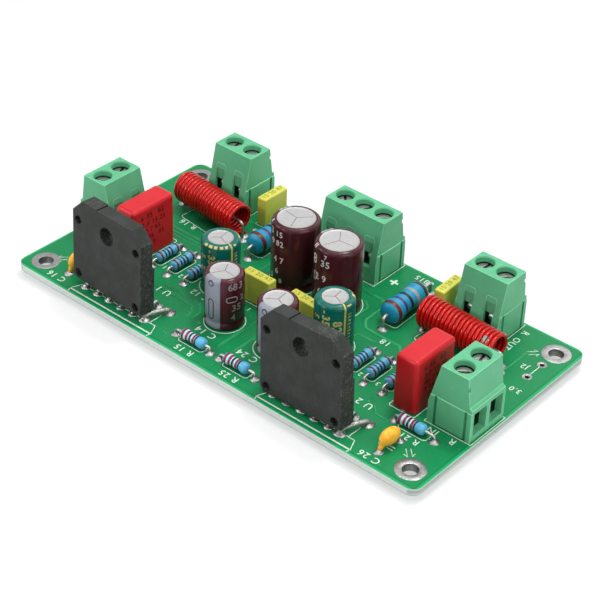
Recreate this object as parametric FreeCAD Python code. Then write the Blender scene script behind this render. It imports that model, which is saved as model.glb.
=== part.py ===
import FreeCAD, Part
import math
import os

# Stereo audio amplifier board with screw terminals on three sides.
# Millimetres. The origin is the centre of the four mounting holes, on the underside of the
# board. X runs along the board, Y towards the supply terminal, Z up. The two power chips
# stand along the front edge with their flat faces to the front.

V = FreeCAD.Vector

# Board
BOARD_LENGTH = 104.5
BOARD_WIDTH = 55.0
BOARD_THICKNESS = 1.6
BOARD_CORNER_RADIUS = 2.2
MOUNT_SPACING_X = 95.9
MOUNT_SPACING_Y = 46.4
MOUNT_HOLE_DIAMETER = 3.3
SPARE_HOLE_DIAMETER = 1.0
SPARE_HOLES = ((47.9, 13.25), (47.9, 18.33))

# Wires and the holes that take them
WIRE_DIAMETER = 0.6
HEAVY_WIRE_DIAMETER = 0.8
HOLE_CLEARANCE = 0.12
TAIL_LENGTH = 1.5
WIRE_SIDES = 4
HOLE_SIDES = 4

# Screw terminals, as seen from the entry side: depth runs from the screw axis to the entries
POLE_PITCH = 5.08
END_OVERHANG = 0.25
BLOCK_HEIGHT = 14.0
BACK_TOP_DEPTH = 3.2
BACK_BASE_DEPTH = 5.3
BACK_BASE_HEIGHT = 5.0
FRONT_TOP_DEPTH = 2.9
FRONT_DRAFT = 0.85
LEDGE_HEIGHT = 7.8
LEDGE_DROP = 0.35
FRONT_BASE_DEPTH = 4.4
FRONT_BASE_DRAFT = 0.1
WELL_DIAMETER = 3.9
SEAT_HEIGHT = 11.3
SEAT_THICKNESS = 0.6
CAVITY_FLOOR = 0.5
CLAMP_CLEARANCE = 0.1
ENTRY_WIDTH = 3.9
ENTRY_BOTTOM = 1.4
ENTRY_TOP = 6.5
ENTRY_THROAT_WIDTH = 3.0
ENTRY_THROAT_BOTTOM = 1.9
ENTRY_THROAT_TOP = 5.4
TEST_SLOT_WIDTH = 2.15
TEST_SLOT_BOTTOM = 3.6
TEST_SLOT_TOP = 9.0
TEST_SLOT_PLANE = 4.3
TEST_WINDOW_TOP = 6.5
RIB_GROOVE_WIDTH = 0.65
RIB_GROOVE_DEPTH = 0.35
RIB_GROOVE_TOP = 6.7
BACK_GROOVE_DEPTH_AT = 3.65
FRONT_GROOVE_DEPTH_AT = 3.15
PANEL_PROUD = 0.15
PANEL_FOOT_HEIGHT = 0.4
PANEL_FOOT_DEPTH = 0.45
TONGUE_WIDTH = 0.4
TONGUE_PROUD = 0.35
TONGUE_TOP = 6.5

# Terminal screw, clamp cage and contact
HEAD_DIAMETER = 3.5
HEAD_THICKNESS = 1.35
HEAD_CLEARANCE = 0.05
SLOT_WIDTH = 0.6
SLOT_DEPTH = 0.7
SHANK_DIAMETER = 2.5
SHANK_CLEARANCE = 0.05
SHANK_END_HEIGHT = 6.25
CAGE_WIDTH = 3.9
CAGE_DEPTH = 3.8
CAGE_WALL = 0.5
CAGE_HEIGHT = 6.6
CAGE_TOP_THICKNESS = 0.9
CAGE_REST_GAP = 0.1
CONTACT_WIDTH = 1.6
CONTACT_THICKNESS = 0.5
CONTACT_TOP = 6.1
CONTACT_REACH = 1.7
PIN_WIDTH = 1.0
PIN_DEPTH_AT = 3.05
PIN_TAIL = 1.5
PIN_CLEARANCE = 0.05

# Power chips
CHIP_WIDTH = 20.0
CHIP_HEIGHT = 18.6
CHIP_CHAMFER_X = 2.7
CHIP_CHAMFER_Z = 2.9
CHIP_TAB_THICKNESS = 3.1
CHIP_BODY_THICKNESS = 4.0
CHIP_BODY_HEIGHT = 9.8
CHIP_BODY_INSET = 0.35
CHIP_HOLE_DIAMETER = 3.9
CHIP_HOLE_HEIGHT = 13.7
DIMPLE_DIAMETER = 1.85
DIMPLE_DEPTH = 0.9
DIMPLE_INSET = 1.54
DIMPLE_LOW = 1.35
DIMPLE_HIGH = 13.8
TOP_STEP_FROM_CENTRE = 2.9
TOP_STEP = 0.2
CHIP_LEADS = 11
LEAD_PITCH = 1.7
LEAD_ROW_FRONT = -23.9
LEAD_ROW_BACK = -18.82
LEAD_WIDTH = 0.8
LEAD_RISE = 0.35
CHIP_FACE_Y = -25.2

# Round and box capacitors
BIG_CAN_DIAMETER = 10.1
BIG_CAN_HEIGHT = 15.5
SMALL_CAN_DIAMETER = 8.1
SMALL_CAN_HEIGHT = 12.0
CAN_SHOULDER = 1.05
CAN_LIFT = 0.2
BIG_CAN_LEAD_PITCH = 5.08
SMALL_CAN_LEAD_PITCH = 3.5
RED_LENGTH = 12.0
RED_WIDTH = 5.4
RED_HEIGHT = 12.2
RED_ROUND = 1.0
RED_STEPS = 2
RED_LEAD_PITCH = 10.0
RED_TURN = 90.0
YELLOW_LENGTH = 7.2
YELLOW_WIDTH = 2.4
YELLOW_HEIGHT = 6.8
YELLOW_CHAMFER = 0.35
YELLOW_LEAD_PITCH = 5.08
BEAD_WIDTH = 4.9
BEAD_HEIGHT = 3.7
BEAD_THICKNESS = 2.5
BEAD_CENTRE_HEIGHT = 2.4
BEAD_LEAD_PITCH = 5.08
BEAD_SIDES = 8

# Resistors
SMALL_R_DIAMETER = 2.45
SMALL_R_LENGTH = 6.4
SMALL_R_PITCH = 9.2
SMALL_R_HEIGHT = 1.55
BIG_R_DIAMETER = 5.0
BIG_R_LENGTH = 12.4
BIG_R_PITCH = 16.3
BIG_R_HEIGHT = 2.8
INNER_R_DIAMETER = 3.3
INNER_R_LENGTH = 9.0
INNER_R_PITCH = 19.4
INNER_R_SHIFT = 0.4
INNER_R_OFFSET = -0.4
INNER_R_ALONG = {"left": 1.4, "right": 0.0}
WAIST = 0.86
SMALL_R_SIDES = 6
BIG_R_SIDES = 12

# Coils
COIL_OUTER_DIAMETER = 7.0
COIL_WIRE_DIAMETER = 0.92
COIL_TURNS = 19
COIL_TURN_GAP = 0.045
COIL_FACETS = 8
COIL_WIRE_SIDES = 4
COIL_LIFT = 1.0
COIL_EXIT = 0.45
COIL_CORNER_GAIN = 1.03

# Wire links
LINK_WIRE_DIAMETER = 1.0
LINK_HEIGHT = 1.2
LINK_SIDES = 8
LINK_SHOULDER = 0.2
LINK_KNEE = 0.45

# How far a cutter runs past the face that it goes through
CUT_PAST = 1.0

# How many flat sides stand for a round, to keep the model light
CAN_SIDES = 24
WELL_SIDES = 20
HEAD_SIDES = 20
SHANK_SIDES = 8
PIT_SIDES = 8

TOP = BOARD_THICKNESS

# Places on the board, as x, y and, where it is turned, a turn in degrees
SUPPLY_AT = (-0.47, 22.15, 0.0)
LEFT_OUTPUT_AT = (-34.3, 22.3, 0.0)
RIGHT_OUTPUT_AT = (32.65, 22.0, 0.0)
LEFT_INPUT_AT = (-47.1, -4.6, 90.0)
RIGHT_INPUT_AT = (47.05, -5.2, -90.0)
# Each power chip: x, height over the board, turn, sideways lean, backward lean, x of its leads
LEFT_CHIP_AT = (-27.8, 2.05, -2.6, 0.0, 2.7, -28.24)
RIGHT_CHIP_AT = (23.4, 1.15, -1.3, -4.0, 3.3, 22.82)
BIG_CANS_AT = {"left": (-5.75, 6.9), "right": (5.85, 6.45)}
SMALL_CANS_AT = {"left": (-6.9, -12.95), "right": (6.98, -12.9)}
TEAL_CANS_AT = {"left": (-15.5, -4.87), "right": (14.3, -4.73)}
RED_CAPS_AT = {"left": (-36.4, -5.5), "right": (36.6, -5.15)}
YELLOW_CAPS_AT = {
    "left_output": (-24.6, 21.1, 90.0),
    "right_output": (23.6, 20.0, 92.0),
    "left_supply": (-5.9, -3.85, 0.0),
    "right_supply": (5.9, -3.55, -3.0),
}
BIG_RESISTORS_AT = {"left": (-17.95, 14.3, 90.0), "right": (17.75, 14.3, 92.0)}
SMALL_RESISTORS_AT = {
    "left_feedback_resistor_1": (-30.5, -5.1, 90.0),
    "left_feedback_resistor_2": (-26.1, -5.1, 90.0),
    "left_feedback_resistor_3": (-21.45, -5.1, 90.0),
    "right_feedback_resistor_1": (21.95, -5.1, 90.0),
    "right_feedback_resistor_2": (26.15, -5.2, 90.0),
    "right_feedback_resistor_3": (30.6, -5.1, 90.0),
    "left_mute_resistor": (-6.0, -22.9, 0.0),
    "right_mute_resistor": (5.8, -22.95, 0.0),
    "left_input_resistor": (-41.9, -14.3, 0.0),
    "right_input_resistor": (41.9, -14.3, 0.0),
}
CERAMICS_AT = {"left": (-41.0, -20.6, 90.0), "right": (41.15, -20.8, 82.2)}
COILS_AT = {"left": (-33.5, 11.85, -6.0), "right": (33.15, 11.7, -2.8)}
LINKS = (((-18.5, -23.75), (-16.3, -18.8)), ((32.35, -24.2), (34.7, -18.6)))

wire_holes = []


def hole_for(x, y, diameter=WIRE_DIAMETER):
    """Note a plated hole for a wire of this diameter and give the place back."""
    wire_holes.append((x, y, diameter / 2.0 + HOLE_CLEARANCE))
    return x, y


def save(name, solids):
    """Write the solids of one node."""
    shape = solids[0] if len(solids) == 1 else Part.makeCompound(solids)
    shape.exportStep(os.path.join("parts", name + ".step"))


def box(x1, x2, y1, y2, z1, z2):
    """A box between two corners."""
    return Part.makeBox(x2 - x1, y2 - y1, z2 - z1, V(x1, y1, z1))


def cylinder(x, y, z1, z2, radius):
    """An upright cylinder."""
    return Part.makeCylinder(radius, z2 - z1, V(x, y, z1))


def rod(centre, direction, radius, sides):
    """A round bar cut with flat sides, its corners at the radius."""
    axis = V(direction).normalize()
    side = V(0, 0, 1) if abs(axis.z) < 0.5 else V(1, 0, 0)
    lift = axis.cross(side)
    points = []
    for k in range(sides):
        a = 2.0 * math.pi * (k + 0.5) / sides
        points.append(centre + side * (radius * math.cos(a)) + lift * (radius * math.sin(a)))
    return prism(points, direction)


def clear_rod(centre, direction, radius, sides):
    """A cutter of flat sides whose flats stay outside the radius."""
    return rod(centre, direction, radius / math.cos(math.pi / sides), sides)


def prism(points, direction):
    """A closed outline of vectors, pushed along a direction."""
    return Part.Face(Part.makePolygon(points + points[:1])).extrude(direction)


def circle_of(z, radius, sides):
    """Points evenly round the Z axis at one height."""
    ring = []
    for k in range(sides):
        a = 2.0 * math.pi * k / sides
        ring.append(V(radius * math.cos(a), radius * math.sin(a), z))
    return ring


def place(shape, x, y, turn=0.0, z=0.0):
    """Turn a shape about Z and move it to its place."""
    moved = shape.copy()
    moved.rotate(V(0, 0, 0), V(0, 0, 1), turn)
    moved.translate(V(x, y, z))
    return moved


def spot(x, y, turn, dx, dy=0.0):
    """The board place of a point given in a turned part's own frame."""
    a = math.radians(turn)
    return x + dx * math.cos(a) - dy * math.sin(a), y + dx * math.sin(a) + dy * math.cos(a)


def skin(rings):
    """A closed solid through rings of points: flat four-sided faces stay whole."""
    faces = []
    count = len(rings[0])
    for ring, following in zip(rings, rings[1:]):
        for i in range(count):
            j = (i + 1) % count
            corners = [ring[i], ring[j], following[j], following[i]]
            normal = (corners[1] - corners[0]).cross(corners[2] - corners[0])
            height = abs(normal.dot(corners[3] - corners[0])) / max(normal.Length, 1e-9)
            if height < 1e-7:
                faces.append(Part.Face(Part.makePolygon(corners + corners[:1])))
            else:
                for three in ((0, 1, 2), (0, 2, 3)):
                    triangle = [corners[k] for k in three]
                    faces.append(Part.Face(Part.makePolygon(triangle + triangle[:1])))
    for ring in (rings[0], rings[-1]):
        faces.append(Part.Face(Part.makePolygon(ring + ring[:1])))
    solid = Part.Solid(Part.Shell(faces))
    if solid.Volume < 0:
        solid.reverse()
    return solid


def wire(points, radii, sides, side_axis):
    """A wire or a turned body of flat sides along a path, mitred where the path bends."""
    rings = []
    last = len(points) - 1
    for i, point in enumerate(points):
        before = (point - points[i - 1]).normalize() if i else None
        after = (points[i + 1] - point).normalize() if i < last else None
        run = before if after is None else after
        across = before + after if before is not None and after is not None else run
        cut = V(across).normalize()
        side = V(side_axis)
        lift = run.cross(side).normalize()
        ring = []
        for k in range(sides):
            a = 2.0 * math.pi * (k + 0.5) / sides
            offset = side * (radii[i] * math.cos(a)) + lift * (radii[i] * math.sin(a))
            slide = -offset.dot(cut) / run.dot(cut)
            ring.append(point + offset + run * slide)
        rings.append(ring)
    return skin(rings)


def pin(x, y, height, diameter=WIRE_DIAMETER):
    """A straight lead from a body's underside down through its hole."""
    hole_for(x, y, diameter)
    points = [V(x, y, -TAIL_LENGTH), V(x, y, height)]
    return wire(points, [diameter / 2.0] * 2, WIRE_SIDES, V(1, 0, 0))


def axial_part(
    at, pitch, body_length, body_diameter, height, wire_diameter, sides, waisted, along=0.0,
):
    """A resistor with its body between two leads bent down into the board."""
    x, y, turn = at
    z = TOP + height
    r = wire_diameter / 2.0
    full = body_diameter / 2.0
    waist = full * WAIST
    half = body_length / 2.0
    cap = body_length * 0.12
    stations = [(-half, r * 1.6), (-half + cap, full)]
    if waisted:
        stations += [(-half + body_length * 0.3, waist), (half - body_length * 0.3, waist)]
    stations += [(half - cap, full), (half, r * 1.6)]
    stations = [(s + along, radius) for s, radius in stations]
    points = [V(-pitch / 2.0, 0, -TAIL_LENGTH), V(-pitch / 2.0, 0, z)]
    points += [V(s, 0, z) for s, radius in stations]
    points += [V(pitch / 2.0, 0, z), V(pitch / 2.0, 0, -TAIL_LENGTH)]
    radii = [r, r] + [radius for s, radius in stations] + [r, r]
    for end in (-pitch / 2.0, pitch / 2.0):
        hole_for(*spot(x, y, turn, end), wire_diameter)
    return place(wire(points, radii, sides, V(0, 1, 0)), x, y, turn)


def terminal_housing(poles):
    """The moulded block of a screw terminal: entries towards +Y, screws along Z."""
    length = poles * POLE_PITCH + 2 * END_OVERHANG
    half = length / 2.0
    outline = [
        (-BACK_BASE_DEPTH, 0), (-BACK_BASE_DEPTH, BACK_BASE_HEIGHT), (-BACK_TOP_DEPTH, BLOCK_HEIGHT),
        (FRONT_TOP_DEPTH, BLOCK_HEIGHT), (FRONT_TOP_DEPTH + FRONT_DRAFT, LEDGE_HEIGHT),
        (FRONT_BASE_DEPTH, LEDGE_HEIGHT - LEDGE_DROP), (FRONT_BASE_DEPTH + FRONT_BASE_DRAFT, 0),
    ]
    inner = half - PANEL_PROUD
    block = prism([V(-inner, y, z) for y, z in outline], V(2 * inner, 0, 0))
    base_back = -BACK_BASE_DEPTH
    base_front = FRONT_BASE_DEPTH
    lower = box(-half, half, base_back, base_front, 0, RIB_GROOVE_TOP)
    upper = prism([V(-half, y, z) for y, z in outline], V(2 * half, 0, 0))
    panel_from = -BACK_GROOVE_DEPTH_AT
    panel_to = FRONT_GROOVE_DEPTH_AT
    panels = upper.common(box(-half, half, panel_from, panel_to, 0, RIB_GROOVE_TOP))
    ribs = upper.common(lower).cut(box(-half, half, panel_from, panel_to, 0, RIB_GROOVE_TOP))
    block = block.fuse([panels, ribs])
    grooves = []
    tongues = []
    x_in = half - PANEL_PROUD - RIB_GROOVE_DEPTH
    for depth_at in (-BACK_GROOVE_DEPTH_AT, FRONT_GROOVE_DEPTH_AT):
        y1 = depth_at - RIB_GROOVE_WIDTH / 2.0
        y2 = depth_at + RIB_GROOVE_WIDTH / 2.0
        grooves.append(box(x_in, half + CUT_PAST, y1, y2, -CUT_PAST, RIB_GROOVE_TOP))
        y1 = depth_at - TONGUE_WIDTH / 2.0
        y2 = depth_at + TONGUE_WIDTH / 2.0
        tongues.append(box(-half - TONGUE_PROUD, -half + PANEL_PROUD, y1, y2, 0, TONGUE_TOP))
    block = block.fuse(tongues)
    foot_from = half - PANEL_FOOT_DEPTH
    foot = box(foot_from, half + CUT_PAST, panel_from, panel_to, -CUT_PAST, PANEL_FOOT_HEIGHT)
    cuts = [*grooves, foot]
    cavity_half_x = CAGE_WIDTH / 2.0 + CLAMP_CLEARANCE
    cavity_half_y = CAGE_DEPTH / 2.0 + CLAMP_CLEARANCE
    ceiling = SEAT_HEIGHT - SEAT_THICKNESS
    pin_y1 = -PIN_DEPTH_AT - CONTACT_THICKNESS / 2.0 - PIN_CLEARANCE
    pin_y2 = -PIN_DEPTH_AT + CONTACT_THICKNESS / 2.0 + PIN_CLEARANCE
    pin_half = PIN_WIDTH / 2.0 + PIN_CLEARANCE
    for x in pole_places(poles):
        well_depth = BLOCK_HEIGHT + CUT_PAST - SEAT_HEIGHT
        cuts.append(rod(V(x, 0, SEAT_HEIGHT), V(0, 0, well_depth), WELL_DIAMETER / 2.0, WELL_SIDES))
        shank_radius = SHANK_DIAMETER / 2.0 + SHANK_CLEARANCE
        through_seat = V(0, 0, SEAT_THICKNESS + CUT_PAST)
        cuts.append(clear_rod(V(x, 0, ceiling - 0.5), through_seat, shank_radius, SHANK_SIDES))
        cuts.append(box(
            x - cavity_half_x, x + cavity_half_x, -cavity_half_y, cavity_half_y,
            CAVITY_FLOOR, ceiling,
        ))
        mouth_at = FRONT_BASE_DEPTH + FRONT_BASE_DRAFT
        mouth = entry_ring(x, mouth_at, ENTRY_WIDTH, ENTRY_BOTTOM, ENTRY_TOP)
        throat = entry_ring(
            x, cavity_half_y - 0.5, ENTRY_THROAT_WIDTH, ENTRY_THROAT_BOTTOM, ENTRY_THROAT_TOP,
        )
        cuts.append(skin([throat, mouth]))
        slot_x1 = x - TEST_SLOT_WIDTH / 2.0
        slot_x2 = x + TEST_SLOT_WIDTH / 2.0
        outside = -BACK_BASE_DEPTH - CUT_PAST
        cuts.append(box(slot_x1, slot_x2, outside, -TEST_SLOT_PLANE, TEST_SLOT_BOTTOM, TEST_SLOT_TOP))
        cuts.append(box(slot_x1, slot_x2, outside, 0, TEST_SLOT_BOTTOM, TEST_WINDOW_TOP))
        cuts.append(box(x - pin_half, x + pin_half, pin_y1, pin_y2, -1, TEST_SLOT_BOTTOM + 0.5))
    return block.cut(cuts).removeSplitter()


def entry_ring(x, y, width, bottom, top):
    """Corners of a wire entry at one depth."""
    half = width / 2.0
    return [V(x - half, y, bottom), V(x + half, y, bottom), V(x + half, y, top), V(x - half, y, top)]


def pole_places(poles):
    """Places of the screws along a block."""
    return [(i - (poles - 1) / 2.0) * POLE_PITCH for i in range(poles)]


def terminal_screw(slot_turn):
    """A slotted cheese-head screw, captive between its seat and its clamp cage."""
    low = SEAT_HEIGHT + HEAD_CLEARANCE
    high = low + HEAD_THICKNESS
    head = rod(V(0, 0, low), V(0, 0, HEAD_THICKNESS), HEAD_DIAMETER / 2.0, HEAD_SIDES)
    shank_length = low + 0.1 - SHANK_END_HEIGHT
    shank_end = V(0, 0, SHANK_END_HEIGHT)
    shank = rod(shank_end, V(0, 0, shank_length), SHANK_DIAMETER / 2.0, SHANK_SIDES)
    slot_half = SLOT_WIDTH / 2.0
    slot = box(-HEAD_DIAMETER, HEAD_DIAMETER, -slot_half, slot_half, high - SLOT_DEPTH, high + 1)
    return place(head.fuse(shank).cut(slot), 0, 0, slot_turn)


def clamp_cage():
    """A box clamp: a threaded roof, two sides and a floor that lifts the wire."""
    half_x = CAGE_WIDTH / 2.0
    half_y = CAGE_DEPTH / 2.0
    low = CAVITY_FLOOR + CAGE_REST_GAP
    high = low + CAGE_HEIGHT
    body = box(-half_x, half_x, -half_y, half_y, low, high)
    window = box(
        -half_x + CAGE_WALL, half_x - CAGE_WALL, -half_y - 1, half_y + 1,
        low + CAGE_WALL, high - CAGE_TOP_THICKNESS,
    )
    roof = high - CAGE_TOP_THICKNESS
    thread_radius = SHANK_DIAMETER / 2.0 + SHANK_CLEARANCE
    thread = clear_rod(V(0, 0, roof - 0.1), V(0, 0, CAGE_TOP_THICKNESS + 1), thread_radius, SHANK_SIDES)
    return body.cut([window, thread])


def contact():
    """The fixed tongue that a wire is clamped against, with its solder pin."""
    low = CONTACT_TOP - CONTACT_THICKNESS
    y1 = -PIN_DEPTH_AT - CONTACT_THICKNESS / 2.0
    y2 = -PIN_DEPTH_AT + CONTACT_THICKNESS / 2.0
    half = CONTACT_WIDTH / 2.0
    tongue = box(-half, half, y1, CONTACT_REACH, low, CONTACT_TOP)
    leg = box(-PIN_WIDTH / 2.0, PIN_WIDTH / 2.0, y1, y2, -TOP - PIN_TAIL, low + 0.1)
    return tongue.fuse(leg)


def make_terminal(name, poles, at, contacts):
    """One terminal block with its screws, cages and contacts."""
    x, y, turn = at
    save(name + "_housing", [place(terminal_housing(poles), x, y, turn, TOP)])
    for i, along in enumerate(pole_places(poles)):
        px, py = spot(x, y, turn, along)
        number = str(i + 1)
        slot_turn = turn + 35.0 + 50.0 * i
        save(name + "_screw_" + number, [place(terminal_screw(slot_turn), px, py, 0.0, TOP)])
        save(name + "_clamp_" + number, [place(clamp_cage(), px, py, turn, TOP)])
        contacts.append(place(contact(), px, py, turn, TOP))
        pin_x, pin_y = spot(x, y, turn, along, -PIN_DEPTH_AT)
        hole_for(pin_x, pin_y, math.hypot(PIN_WIDTH, CONTACT_THICKNESS))


def power_chip(at):
    """An eleven-lead moulded power package, flat face to the front, leads in two rows."""
    x, height, turn, lean, tilt, lead_x = at
    half = CHIP_WIDTH / 2.0
    side_top = CHIP_HEIGHT - CHIP_CHAMFER_Z
    step_at = -TOP_STEP_FROM_CENTRE
    low_top = CHIP_HEIGHT - TOP_STEP
    low_right = half - CHIP_CHAMFER_X * (CHIP_CHAMFER_Z - TOP_STEP) / CHIP_CHAMFER_Z
    face = [
        (-half, 0), (half, 0), (half, side_top), (low_right, low_top), (step_at, low_top),
        (step_at, CHIP_HEIGHT), (-half + CHIP_CHAMFER_X, CHIP_HEIGHT), (-half, side_top),
    ]
    body = prism([V(u, 0, w) for u, w in face], V(0, CHIP_TAB_THICKNESS, 0))
    inset = CHIP_BODY_INSET
    thick = CHIP_BODY_THICKNESS - CHIP_TAB_THICKNESS
    back = [
        [V(-half, CHIP_TAB_THICKNESS, 0), V(half, CHIP_TAB_THICKNESS, 0),
         V(half, CHIP_TAB_THICKNESS, CHIP_BODY_HEIGHT), V(-half, CHIP_TAB_THICKNESS, CHIP_BODY_HEIGHT)],
        [V(-half + inset, CHIP_TAB_THICKNESS + thick, 0), V(half - inset, CHIP_TAB_THICKNESS + thick, 0),
         V(half - inset, CHIP_TAB_THICKNESS + thick, CHIP_BODY_HEIGHT - inset),
         V(-half + inset, CHIP_TAB_THICKNESS + thick, CHIP_BODY_HEIGHT - inset)],
    ]
    body = body.fuse(skin(back))
    to_back = V(0, 1, 0)
    hole_from = V(0, -CUT_PAST, CHIP_HOLE_HEIGHT)
    hole_length = CHIP_BODY_THICKNESS + 2 * CUT_PAST
    cuts = [Part.makeCylinder(CHIP_HOLE_DIAMETER / 2.0, hole_length, hole_from, to_back)]
    for u in (-half + DIMPLE_INSET, half - DIMPLE_INSET):
        for w in (DIMPLE_LOW, DIMPLE_HIGH):
            pit_length = to_back * (DIMPLE_DEPTH + CUT_PAST)
            cuts.append(rod(V(u, -CUT_PAST, w), pit_length, DIMPLE_DIAMETER / 2.0, PIT_SIDES))
    body = body.cut(cuts)
    pose = chip_pose(at)
    body.Placement = pose
    leads = []
    exit_y = CHIP_TAB_THICKNESS * 0.7
    for i in range(CHIP_LEADS):
        u = (i - (CHIP_LEADS - 1) / 2.0) * LEAD_PITCH
        row = LEAD_ROW_BACK if i % 2 == 0 else LEAD_ROW_FRONT
        hole_x = lead_x + u
        hole_for(hole_x, row, LEAD_WIDTH)
        start = pose.multVec(V(u, exit_y, 0.6))
        drop = V(hole_x, row, TOP + LEAD_RISE)
        points = [V(hole_x, row, -TAIL_LENGTH), drop, start]
        leads.append(wire(points, [LEAD_WIDTH / 2.0] * 3, 4, V(1, 0, 0)))
    return body.fuse(leads)


def chip_pose(at):
    """Where a power chip stands: turned about Z and leaning along its own face."""
    x, height, turn, lean, tilt, lead_x = at
    spin = FreeCAD.Rotation(V(0, 0, 1), turn)
    tip = FreeCAD.Rotation(V(0, 1, 0), lean)
    back = FreeCAD.Rotation(V(1, 0, 0), -tilt)
    return FreeCAD.Placement(V(x, CHIP_FACE_Y, TOP + height), spin.multiply(tip).multiply(back))


def can(at, diameter, height, lead_pitch):
    """An upright electrolytic capacitor: a sleeved can with a bare vented top."""
    x, y = at
    r = diameter / 2.0
    low = TOP + CAN_LIFT
    high = TOP + height
    levels = ((low, r), (high - CAN_SHOULDER, r), (high, r - CAN_SHOULDER))
    body = skin([circle_of(z, radius, CAN_SIDES) for z, radius in levels])
    leads = [pin(x + s * lead_pitch / 2.0, y, low + 0.2) for s in (-1, 1)]
    return place(body, x, y).fuse(leads)


def round_box(length, width, low, high, edge, steps):
    """A box with its upright and top edges rounded over in a few flat steps."""
    levels = [(low, 0.0)]
    for k in range(steps + 1):
        a = math.pi / 2.0 * k / steps
        levels.append((high - edge * (1.0 - math.sin(a)), edge * (1.0 - math.cos(a))))
    rings = []
    for z, inset in levels:
        ring = []
        for corner, (sx, sy) in enumerate(((1, 1), (-1, 1), (-1, -1), (1, -1))):
            cx = sx * (length / 2.0 - edge)
            cy = sy * (width / 2.0 - edge)
            for k in range(steps + 1):
                a = math.pi / 2.0 * (corner + k / steps)
                r = max(edge - inset, 0.05)
                ring.append(V(cx + r * math.cos(a), cy + r * math.sin(a), z))
        rings.append(ring)
    return skin(rings)


def box_capacitor(at, length, width, height, lead_pitch, edge, steps):
    """A moulded film capacitor: a box with eased edges on two leads."""
    x, y, turn = at
    body = place(round_box(length, width, TOP + CAN_LIFT, TOP + height, edge, steps), x, y, turn)
    leads = []
    for s in (-1, 1):
        lead_x, lead_y = spot(x, y, turn, s * lead_pitch / 2.0)
        leads.append(pin(lead_x, lead_y, TOP + CAN_LIFT + 0.2))
    return body.fuse(leads)


def ceramic(at):
    """A dipped disc capacitor: a lens-shaped bead on two leads."""
    x, y, turn = at
    z = TOP + BEAD_CENTRE_HEIGHT
    rings = []
    for k in range(5):
        a = math.pi * (k - 2) / 4.8
        size = math.cos(a)
        shift = BEAD_THICKNESS / 2.0 * math.sin(a) / math.sin(math.pi * 2 / 4.8)
        ring = []
        for m in range(BEAD_SIDES):
            b = 2.0 * math.pi * m / BEAD_SIDES
            across = BEAD_WIDTH / 2.0 * size * math.cos(b)
            ring.append(V(across, shift, z + BEAD_HEIGHT / 2.0 * size * math.sin(b)))
        rings.append(ring)
    bead = skin(rings)
    leads = []
    for s in (-1, 1):
        foot = s * BEAD_LEAD_PITCH / 2.0
        hole_for(*spot(x, y, turn, foot))
        root = V(s * BEAD_WIDTH * 0.3, 0, z - BEAD_HEIGHT * 0.15)
        points = [V(foot, 0, -TAIL_LENGTH), V(foot, 0, TOP + 0.4), root]
        leads.append(wire(points, [WIRE_DIAMETER / 2.0] * 3, WIRE_SIDES, V(0, 1, 0)))
    return place(bead.fuse(leads), x, y, turn)


def rings_along(path, radius, sides):
    """Rings of points across a path in space, each in the plane that halves its bend."""
    rings = []
    last = len(path) - 1
    side = V(1, 0, 0)
    for i, point in enumerate(path):
        before = path[max(i, 1)] - path[max(i, 1) - 1]
        after = path[min(i, last - 1) + 1] - path[min(i, last - 1)]
        cut = before.normalize() + after.normalize()
        cut.normalize()
        side = side - before * side.dot(before)
        side.normalize()
        lift = before.cross(side)
        ring = []
        for k in range(sides):
            a = 2.0 * math.pi * k / sides
            offset = side * (radius * math.cos(a)) + lift * (radius * math.sin(a))
            ring.append(point + offset - before * (offset.dot(cut) / before.dot(cut)))
        rings.append(ring)
    return rings


def make_coil(name, at):
    """The coil's wire from one hole round all its turns to the other hole."""
    x, y, turn = at
    r = (COIL_OUTER_DIAMETER - COIL_WIRE_DIAMETER) / 2.0
    step = COIL_WIRE_DIAMETER + COIL_TURN_GAP
    half = COIL_TURNS * step / 2.0
    z = TOP + COIL_LIFT + COIL_OUTER_DIAMETER / 2.0
    count = COIL_TURNS * COIL_FACETS - COIL_FACETS // 4
    wide = r * COIL_CORNER_GAIN
    path = [V(-half, wide, -TAIL_LENGTH)]
    for i in range(count + 1):
        a = 2.0 * math.pi * i / COIL_FACETS
        path.append(V(-half + step * i / COIL_FACETS, wide * math.cos(a), z + wide * math.sin(a)))
    end = path[-1]
    exit_y = end.y + COIL_EXIT * r
    path.append(V(end.x + step / 8.0, exit_y, end.z))
    path.append(V(end.x + step / 8.0, exit_y, -TAIL_LENGTH))
    for point in (path[0], path[-1]):
        hole_for(*spot(x, y, turn, point.x, point.y), COIL_WIRE_DIAMETER)
    solid = skin(rings_along(path, COIL_WIRE_DIAMETER / 2.0, COIL_WIRE_SIDES))
    save(name, [place(solid, x, y, turn)])


def link(ends):
    """A bare wire link between two holes."""
    (x1, y1), (x2, y2) = ends
    for x, y in ends:
        hole_for(x, y, LINK_WIRE_DIAMETER)
    start = V(x1, y1, 0)
    along = V(x2 - x1, y2 - y1, 0)
    low = TOP + LINK_HEIGHT * LINK_KNEE
    high = TOP + LINK_HEIGHT
    shape = (
        (0, -TAIL_LENGTH), (0, low), (LINK_SHOULDER, high), (1 - LINK_SHOULDER, high),
        (1, low), (1, -TAIL_LENGTH),
    )
    points = [start + along * part + V(0, 0, z) for part, z in shape]
    across = V(0, 0, 1).cross(along).normalize()
    return wire(points, [LINK_WIRE_DIAMETER / 2.0] * len(points), LINK_SIDES, across)


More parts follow.
